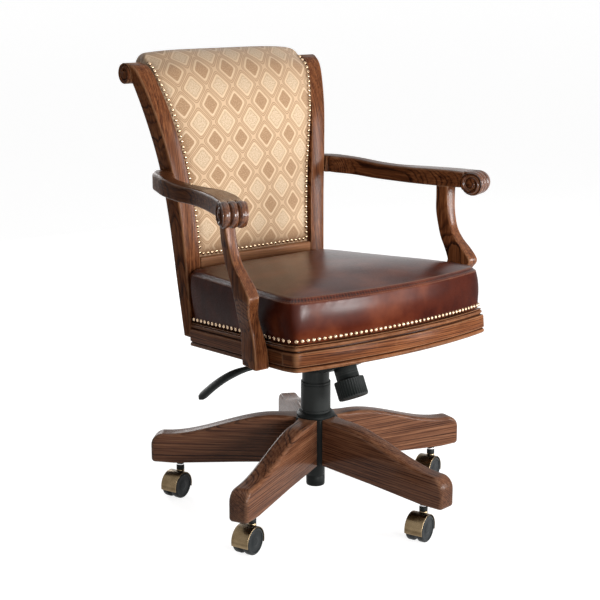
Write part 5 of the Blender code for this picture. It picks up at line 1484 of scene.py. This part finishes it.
def make_posts():
    scroll_y, scroll_top = POST_STATIONS[-1][:2]
    centre_z = scroll_top - POST_SCROLL_RADIUS
    tangents = np.gradient(POST_ROWS[:, :2], axis=0)
    tangents /= np.linalg.norm(tangents, axis=1)[:, None]
    tangents[0] = (0, 1)
    for side, sign in SIDES:
        rings = []
        for (y, z, x, depth), (ty, tz) in zip(POST_ROWS, tangents):
            ring = rounded_ring([(x - POST_WIDTH, 0), (x, 0), (x, depth), (x - POST_WIDTH, depth)],
                                (0.0025, 0.0052, 0.0040, 0.0030), 4)
            rings.append(np.column_stack((sign * ring[:, 0], y + tz * ring[:, 1], z - ty * ring[:, 1])))
        stick = loft("stick", rings)
        width = POST_WIDTH + 0.003
        outer = POST_STATIONS[-1][2] - POST_WIDTH + width
        drum = turned("drum", [(0, 0), (POST_SCROLL_RADIUS - 0.0015, 0), (POST_SCROLL_RADIUS, 0.0015),
                               (POST_SCROLL_RADIUS, width - 0.004), (0, width - 0.004)], 120)
        face_side = Matrix(((0, 0, sign, 0), (1, 0, 0, 0), (0, 1, 0, 0), (0, 0, 0, 1)))
        inner = outer - width
        move(drum, Matrix.Translation((sign * inner, scroll_y, centre_z)) @ face_side)
        carving = volute("carving", POST_SCROLL_RADIUS, math.radians(215), 1.45, 0.0040, 0.0016, 0.006)
        move(carving, Matrix.Translation((sign * outer, scroll_y, centre_z)) @ face_side)
        post = weld(joined(f"wood_post_{side}", [stick, drum, carving]), 1e-7)
        dress(post, "seat", WALNUT, [f"back_post_{side}"], post_board(sign), sharp=45)


def pad_rows(spacing=0.005):
    """The pad's front line from its foot over the crest: y, z, half width, normal y, normal z, roll share."""
    heights = np.linspace(LOWER_RAIL_TOP + TOUCH, PAD_FRONT_TOP, 60)
    flush = np.clip((heights - 0.66) / 0.20, 0, 1)
    recess = 0.010 - 0.0115 * smooth_step(flush)
    front = np.column_stack((front_line_y(heights) + recess, heights))
    first, last = ROLL_ARC
    roll = arc_points(CREST, PAD_ROLL_RADIUS, first, last, 60)
    rolled = np.clip(np.linspace(0, first - last, 61) / math.radians(62), 0, 1)
    share = smooth_step(np.concatenate((np.zeros(len(front)), rolled)))
    path = np.vstack((front, roll))
    along = lengths_along(path)
    wanted = np.linspace(0, along[-1], int(round(along[-1] / spacing)) + 1)
    y, z, share = (np.interp(wanted, along, column) for column in (*path.T, share))
    line = softened(np.column_stack((y, z)), 0.006)
    tangent = np.gradient(line, axis=0)
    tangent /= np.linalg.norm(tangent, axis=1)[:, None]
    normal = np.column_stack((-tangent[:, 1], tangent[:, 0]))
    normal[0] = (-1, 0)
    half = post_inner_x(np.minimum(line[:, 1], PAD_WIDEST)) - 2 * TOUCH
    half = np.where(share > 0, post_inner_x(PAD_WIDEST) - 2 * TOUCH - PAD_ROLL_NARROWING * share, half)
    return np.column_stack((line, half, normal, share))


def make_pad():
    rows = pad_rows()
    y, z, half, normal_y, normal_z, roll = rows.T
    along = lengths_along(rows[:, :2])
    eases = 0.0055 + 0.0095 * roll
    turns = np.linspace(0, math.pi / 2, 6)[1:]
    inner = np.linspace(-1, 1, 77)
    points = []
    cloth = []
    pinned = []
    rise = np.clip((along - PAD_BORDER) / 0.05, 0, 1)
    crown = np.where(roll > 0, 0.003 + 0.009 * (1 - roll), 0.012 * np.sin(rise * math.pi / 2))
    for i in range(len(rows)):
        ease = eases[i]
        reach = half[i] - ease
        x = np.concatenate((-reach - ease * np.sin(turns[::-1]), inner * reach, reach + ease * np.sin(turns)))
        fall = ease * (1 - np.cos(turns))
        drop = np.concatenate((fall[::-1], np.zeros(len(inner)), fall))
        flat = np.clip(np.abs(x) / (half[i] - PAD_BORDER), 0, 1)
        lift = crown[i] * (1 - flat ** 5) - drop
        points.append(np.column_stack((x, y[i] + normal_y[i] * lift, z[i] + normal_z[i] * lift)))
        cloth.append(np.column_stack((x, np.full(len(x), along[i]))))
        edge = (np.abs(x) > half[i] - 0.010) | (along[i] < 0.010) | (along[i] > along[-1] - 0.03)
        pinned.append(np.where(edge, 1.0, 0.0))
    columns = len(points[0])
    points, cloth, pinned = np.concatenate(points), np.concatenate(cloth), np.concatenate(pinned)
    sheet = new_piece("damask_pad", points, grid_faces(len(rows), columns, False))
    face_forward(sheet)
    fill_with_cloth(sheet, pinned, PAD_PRESSURE, PAD_SWELL)
    front = mesh_points(sheet.data)
    places, outward = back_nail_places(rows)
    near = loop_distance(front, places)
    front[:, 1] += 0.0012 * np.exp(-(near / 0.006) ** 2)
    bpy.data.objects.remove(sheet, do_unlink=True)
    wall = np.where(roll > 0, PAD_ROLL_WALL, PAD_THICKNESS)
    limit = np.repeat(half, columns)
    rear = np.column_stack((np.clip(cloth[:, 0], -limit, limit), np.repeat(y - normal_y * wall, columns),
                            np.repeat(z - normal_z * wall, columns)))
    count = len(front)
    pad = new_piece("damask_pad", np.vstack((front, rear)), shell_faces(len(rows), columns))
    write_cloth(pad, np.vstack((cloth, cloth)) + CLOTH_SHIFT)
    # Painted shade on the cloth: darker beside the nails, fading up from the pad's foot, on the ends of the
    # top roll and over the roll's top, where shadows fall.
    painted_shade = np.exp(-(np.concatenate((loop_distance(front, places), np.full(count, 0.02))) / 0.0075) ** 2)
    foot = np.exp(-((np.concatenate((cloth[:, 1], cloth[:, 1])) - 0.005) / 0.030) ** 2)
    side = np.clip((np.abs(cloth[:, 0]) - np.repeat(half - 0.9 * eases, columns)) / 0.008, 0, 1)
    side = np.concatenate((side * (np.repeat(roll, columns) > 0), np.zeros(count)))
    top = 0.33 * np.tile(np.repeat(np.clip((z - 0.84) / 0.08, 0, 1), columns), 2)
    write_values(pad.data, "painted_shade", np.clip(0.90 * painted_shade + 0.52 * foot + 0.5 * side + top, 0, 1))
    dress(pad, "seat", DAMASK, ["back_pad"], sharp=70)
    nails = dome_nails("back_nails", places, outward)
    dress(nails, "seat", NAIL_BRASS, ["back_nail_trim"], sharp=60)


def face_forward(sheet):
    """Turns an open sheet so that its faces look to the sitter's side."""
    mesh = sheet.data
    if mesh.polygons[len(mesh.polygons) // 4].normal.y > 0:
        mesh.flip_normals()


def write_cloth(piece, cloth):
    """Lays the cloth's own measure on a piece, in metres."""
    mesh = piece.data
    layer = mesh.uv_layers.new(name="cloth")
    corners = np.empty(len(mesh.loops), np.int32)
    mesh.loops.foreach_get("vertex_index", corners)
    layer.data.foreach_set("uv", np.ascontiguousarray(cloth[corners], np.float32).ravel())


def back_nail_places(rows):
    """Places and outward directions of the nails up both sides of the pad and along its foot."""
    foot = LOWER_RAIL_TOP + TOUCH + BACK_NAIL_INSET
    heights = np.linspace(foot, BACK_NAIL_TOP, 90)
    keep = rows[rows[:, 5] < 0.3]
    line = np.column_stack([np.interp(heights, keep[:, 1], keep[:, k]) for k in (2, 0, 1)])
    line[:, 0] -= BACK_NAIL_INSET - 0.003 * np.clip((heights - 0.84) / 0.06, 0, 1)
    mirrored = line[::-1] * (-1, 1, 1)
    path = resampled(np.vstack((mirrored, line)), NAIL_PITCH)
    normal_y = np.interp(path[:, 2], keep[:, 1], keep[:, 3])
    normal_z = np.interp(path[:, 2], keep[:, 1], keep[:, 4])
    outward = np.column_stack((np.zeros(len(path)), normal_y, normal_z))
    return path + outward * 0.0003, outward


def make_back_panel():
    """The cloth over the back's rear, drawn a little full."""
    rows = pad_rows(0.012)
    rows = rows[(rows[:, 1] < PANEL_TOP) & (rows[:, 0] < CREST[0])]
    y, z, half, normal_y, normal_z, _ = rows.T
    along = lengths_along(rows[:, :2])
    spread = np.linspace(-1, 1, 33)
    points = []
    cloth = []
    for depth, full in ((PAD_THICKNESS + TOUCH, 0.0), (PAD_THICKNESS + 0.0065, 0.0035)):
        for i in range(len(rows)):
            rise = math.sin(math.pi * along[i] / along[-1]) ** 0.5 if 0 < along[i] < along[-1] else 0.0
            out = depth + full * (1 - spread ** 6) * rise
            x = spread * half[i]
            points.append(np.column_stack((x, y[i] - normal_y[i] * out, z[i] - normal_z[i] * out)))
            cloth.append(np.column_stack((x, np.full(len(spread), along[i]))))
    panel = new_piece("damask_rear", np.concatenate(points), shell_faces(len(rows), len(spread)))
    write_cloth(panel, np.concatenate(cloth))
    dress(panel, "seat", DAMASK, ["back_panel"], sharp=50)


def make_back_rails():
    dress_copy("back_lower_rail", "wood_lower_rail", "seat", WALNUT, 0.003, grain=along_x)
    dress_copy("back_crest_rail", "wood_crest", "seat", WALNUT, 0.001, grain=along_x)


def arm_board(sign):
    """Where a point lies in the straight board that an arm is sawn from."""
    def board(points):
        x, y, z = points.T
        return np.column_stack((sign * x - 0.26, y, z - ARM_UNDERSIDE))
    return board


def make_arms():
    rows = spline(ARM_STATIONS, 8)
    for side, sign in SIDES:
        rings = []
        for y, inner, outer, lift, thickness in rows:
            foot = ARM_UNDERSIDE + lift
            top = foot + thickness
            inner_foot, inner_top = inner, inner
            if y > front_line_y(foot):
                inner_foot, inner_top = post_outer_x(foot) + 0.0007, post_outer_x(top) + 0.0007
            limit = 0.30 * (outer - inner)
            ring = rounded_ring([(inner_foot, foot), (outer, foot), (outer, top), (inner_top, top)],
                                np.minimum((0.0035, 0.0050, 0.0075, 0.0060), limit), 5)
            rings.append(np.column_stack((sign * ring[:, 0], np.full(len(ring), y), ring[:, 1])))
        stick = loft("stick", rings)
        arm = joined(f"wood_arm_{side}", [stick, *arm_scroll(sign)])
        # The arms take the darker walnut, which is partly painted shade.
        dress(arm, "seat", ARM_WALNUT_DARK_AND_SHADED, [f"arm_{side}"], arm_board(sign), sharp=48)


def arm_scroll(sign):
    """The scroll at an arm's end: a drum with a spiral carved in each end and a reeded band over it."""
    half = ARM_SCROLL_WIDTH / 2
    axis = np.array((math.cos(ARM_SCROLL_SPLAY), sign * math.sin(ARM_SCROLL_SPLAY), 0)) * sign
    ahead = np.array((sign * math.sin(ARM_SCROLL_SPLAY), -math.cos(ARM_SCROLL_SPLAY), 0))
    centre = np.array((sign * ARM_SCROLL[0], ARM_SCROLL[1], ARM_SCROLL[2]))
    radius = ARM_SCROLL_RADIUS - 0.0046
    back = -ahead

    def frame_of(way, along):
        """A matrix with its X axis to the rear, Y up and Z along the scroll's axis."""
        return Matrix(((back[0], 0, way[0], centre[0] + along * way[0]),
                       (back[1], 0, way[1], centre[1] + along * way[1]),
                       (back[2], 1, way[2], centre[2]), (0, 0, 0, 1)))

    reach = half - 0.004
    drum = turned("drum", [(0, -reach), (radius, -reach), (radius, reach), (0, reach)], 96)
    pieces = [move(drum, frame_of(axis, 0.0))]
    for end in (-1, 1):
        carving = volute("carving", ARM_SCROLL_RADIUS - 0.0004, math.radians(-35), 1.5, 0.0040, 0.0018, 0.006)
        pieces.append(move(carving, frame_of(axis * end, half)))
    pieces.append(reeded_band(centre, axis, ahead, half - 0.0035))
    return pieces


def reeded_band(centre, axis, ahead, half):
    """Three reeds with rounded petal tips that start on the arm's top and roll down the scroll's front."""
    reeds = 3
    start = 0.026
    base = ARM_SCROLL_RADIUS - 0.0042
    tall = 0.0056
    spread = np.linspace(-1, 1, 61)
    local = np.abs(np.mod((spread + 1) / 2 * reeds, 1.0) - 0.5) * 2
    crest = np.sqrt(np.maximum(0.0, 1 - local ** 2.1))
    tip = 0.012 * local ** 2
    bottom = math.radians(205)
    run = np.concatenate((np.linspace(0, start, 15), start + np.linspace(0, base * bottom, 52)[1:]))
    edge = np.sqrt(np.clip((1 - np.abs(spread)) / 0.06, 0, 1))
    across = np.outer(spread * half, axis)
    outer = []
    inner = []
    for along in run:
        root = centre + ahead * min(0.0, along - start)
        turn = max(0.0, along - start) / base
        out = ahead * math.sin(turn) + np.array((0, 0, math.cos(turn)))
        fade = smooth_step(np.clip((along - tip) / 0.007, 0, 1))
        last = np.clip((run[-1] - along) / 0.006, 0, 1)
        height = (0.0008 + (tall - 0.0008) * crest) * fade * math.sqrt(last) - 0.0012 * (1 - fade)
        outer.append(root + out * base + across + np.outer(height * edge, out))
        inner.append(root + out * (base - 0.004) + across)
    return new_piece("reeds", np.concatenate(outer + inner), shell_faces(len(run), len(spread)))


def support_board(sign):
    """Where a point lies in the straight board that an arm's support is sawn from."""
    def board(points):
        x, y, z = points.T
        return np.column_stack((sign * x - 0.27, z, y + 0.13))
    return board


def make_supports():
    rows = spline(SUPPORT_STATIONS, 8)
    for side, sign in SIDES:
        rings = []
        for z, inner, shift, width, front, rear in rows:
            ring = rounded_ring([(inner, front), (inner + width, front), (inner + width - shift, rear),
                                 (inner - shift, rear)], (0.0050, 0.0055, 0.0050, 0.0040), 5)
            rings.append(np.column_stack((sign * ring[:, 0], ring[:, 1], np.full(len(ring), z))))
        support = loft(f"wood_support_{side}", rings)
        dress(support, "seat", WALNUT, [f"arm_support_{side}"], support_board(sign), sharp=45)


def make_studio():
    """A pale floor, soft lamps, a white surround and the camera."""
    bpy.ops.mesh.primitive_plane_add(size=240)
    floor = bpy.context.object
    floor.name = "floor"
    material, graph, shader = new_surface("floor", Roughness=0.9, Emission_Color=(1, 1, 1, 1),
                                          Base_Color=(FLOOR_GREY, FLOOR_GREY, FLOOR_GREY, 1))
    graph.feed(shader.inputs["Emission Strength"], graph.times(seen_rays(graph), FLOOR_GLOW))
    floor.data.materials.append(material)
    world = bpy.data.worlds.new("studio")
    bpy.context.scene.world = world
    world.use_nodes = True
    graph = Graph(world.node_tree)
    background = world.node_tree.nodes["Background"]
    background.inputs["Color"].default_value = (1, 1, 1, 1)
    strength = graph.plus(graph.times(seen_rays(graph), 1 - SKY_LIGHT), SKY_LIGHT)
    graph.feed(background.inputs["Strength"], strength)
    for name, place, width, height, power in LAMPS:
        lamp = bpy.data.lights.new(name, "AREA")
        lamp.shape = "RECTANGLE"
        lamp.size = width
        lamp.size_y = height
        lamp.energy = power
        stand = show(bpy.data.objects.new(name, lamp))
        stand.location = place
        stand.rotation_euler = (Vector(LAMP_AIM) - Vector(place)).to_track_quat("-Z", "Y").to_euler()
    camera = show(bpy.data.objects.new("camera", bpy.data.cameras.new("camera")))
    camera.data.lens = CAMERA_LENS
    camera.data.sensor_width = CAMERA_SENSOR
    camera.location = CAMERA_PLACE
    camera.rotation_euler = CAMERA_TURN
    bpy.context.scene.camera = camera
    bpy.context.scene.view_settings.view_transform = "Standard"


make_studio()
make_legs()
make_column()
make_casters()
make_mechanism()
make_rails()
make_cushion()
make_posts()
make_pad()
make_back_panel()
make_back_rails()
make_arms()
make_supports()
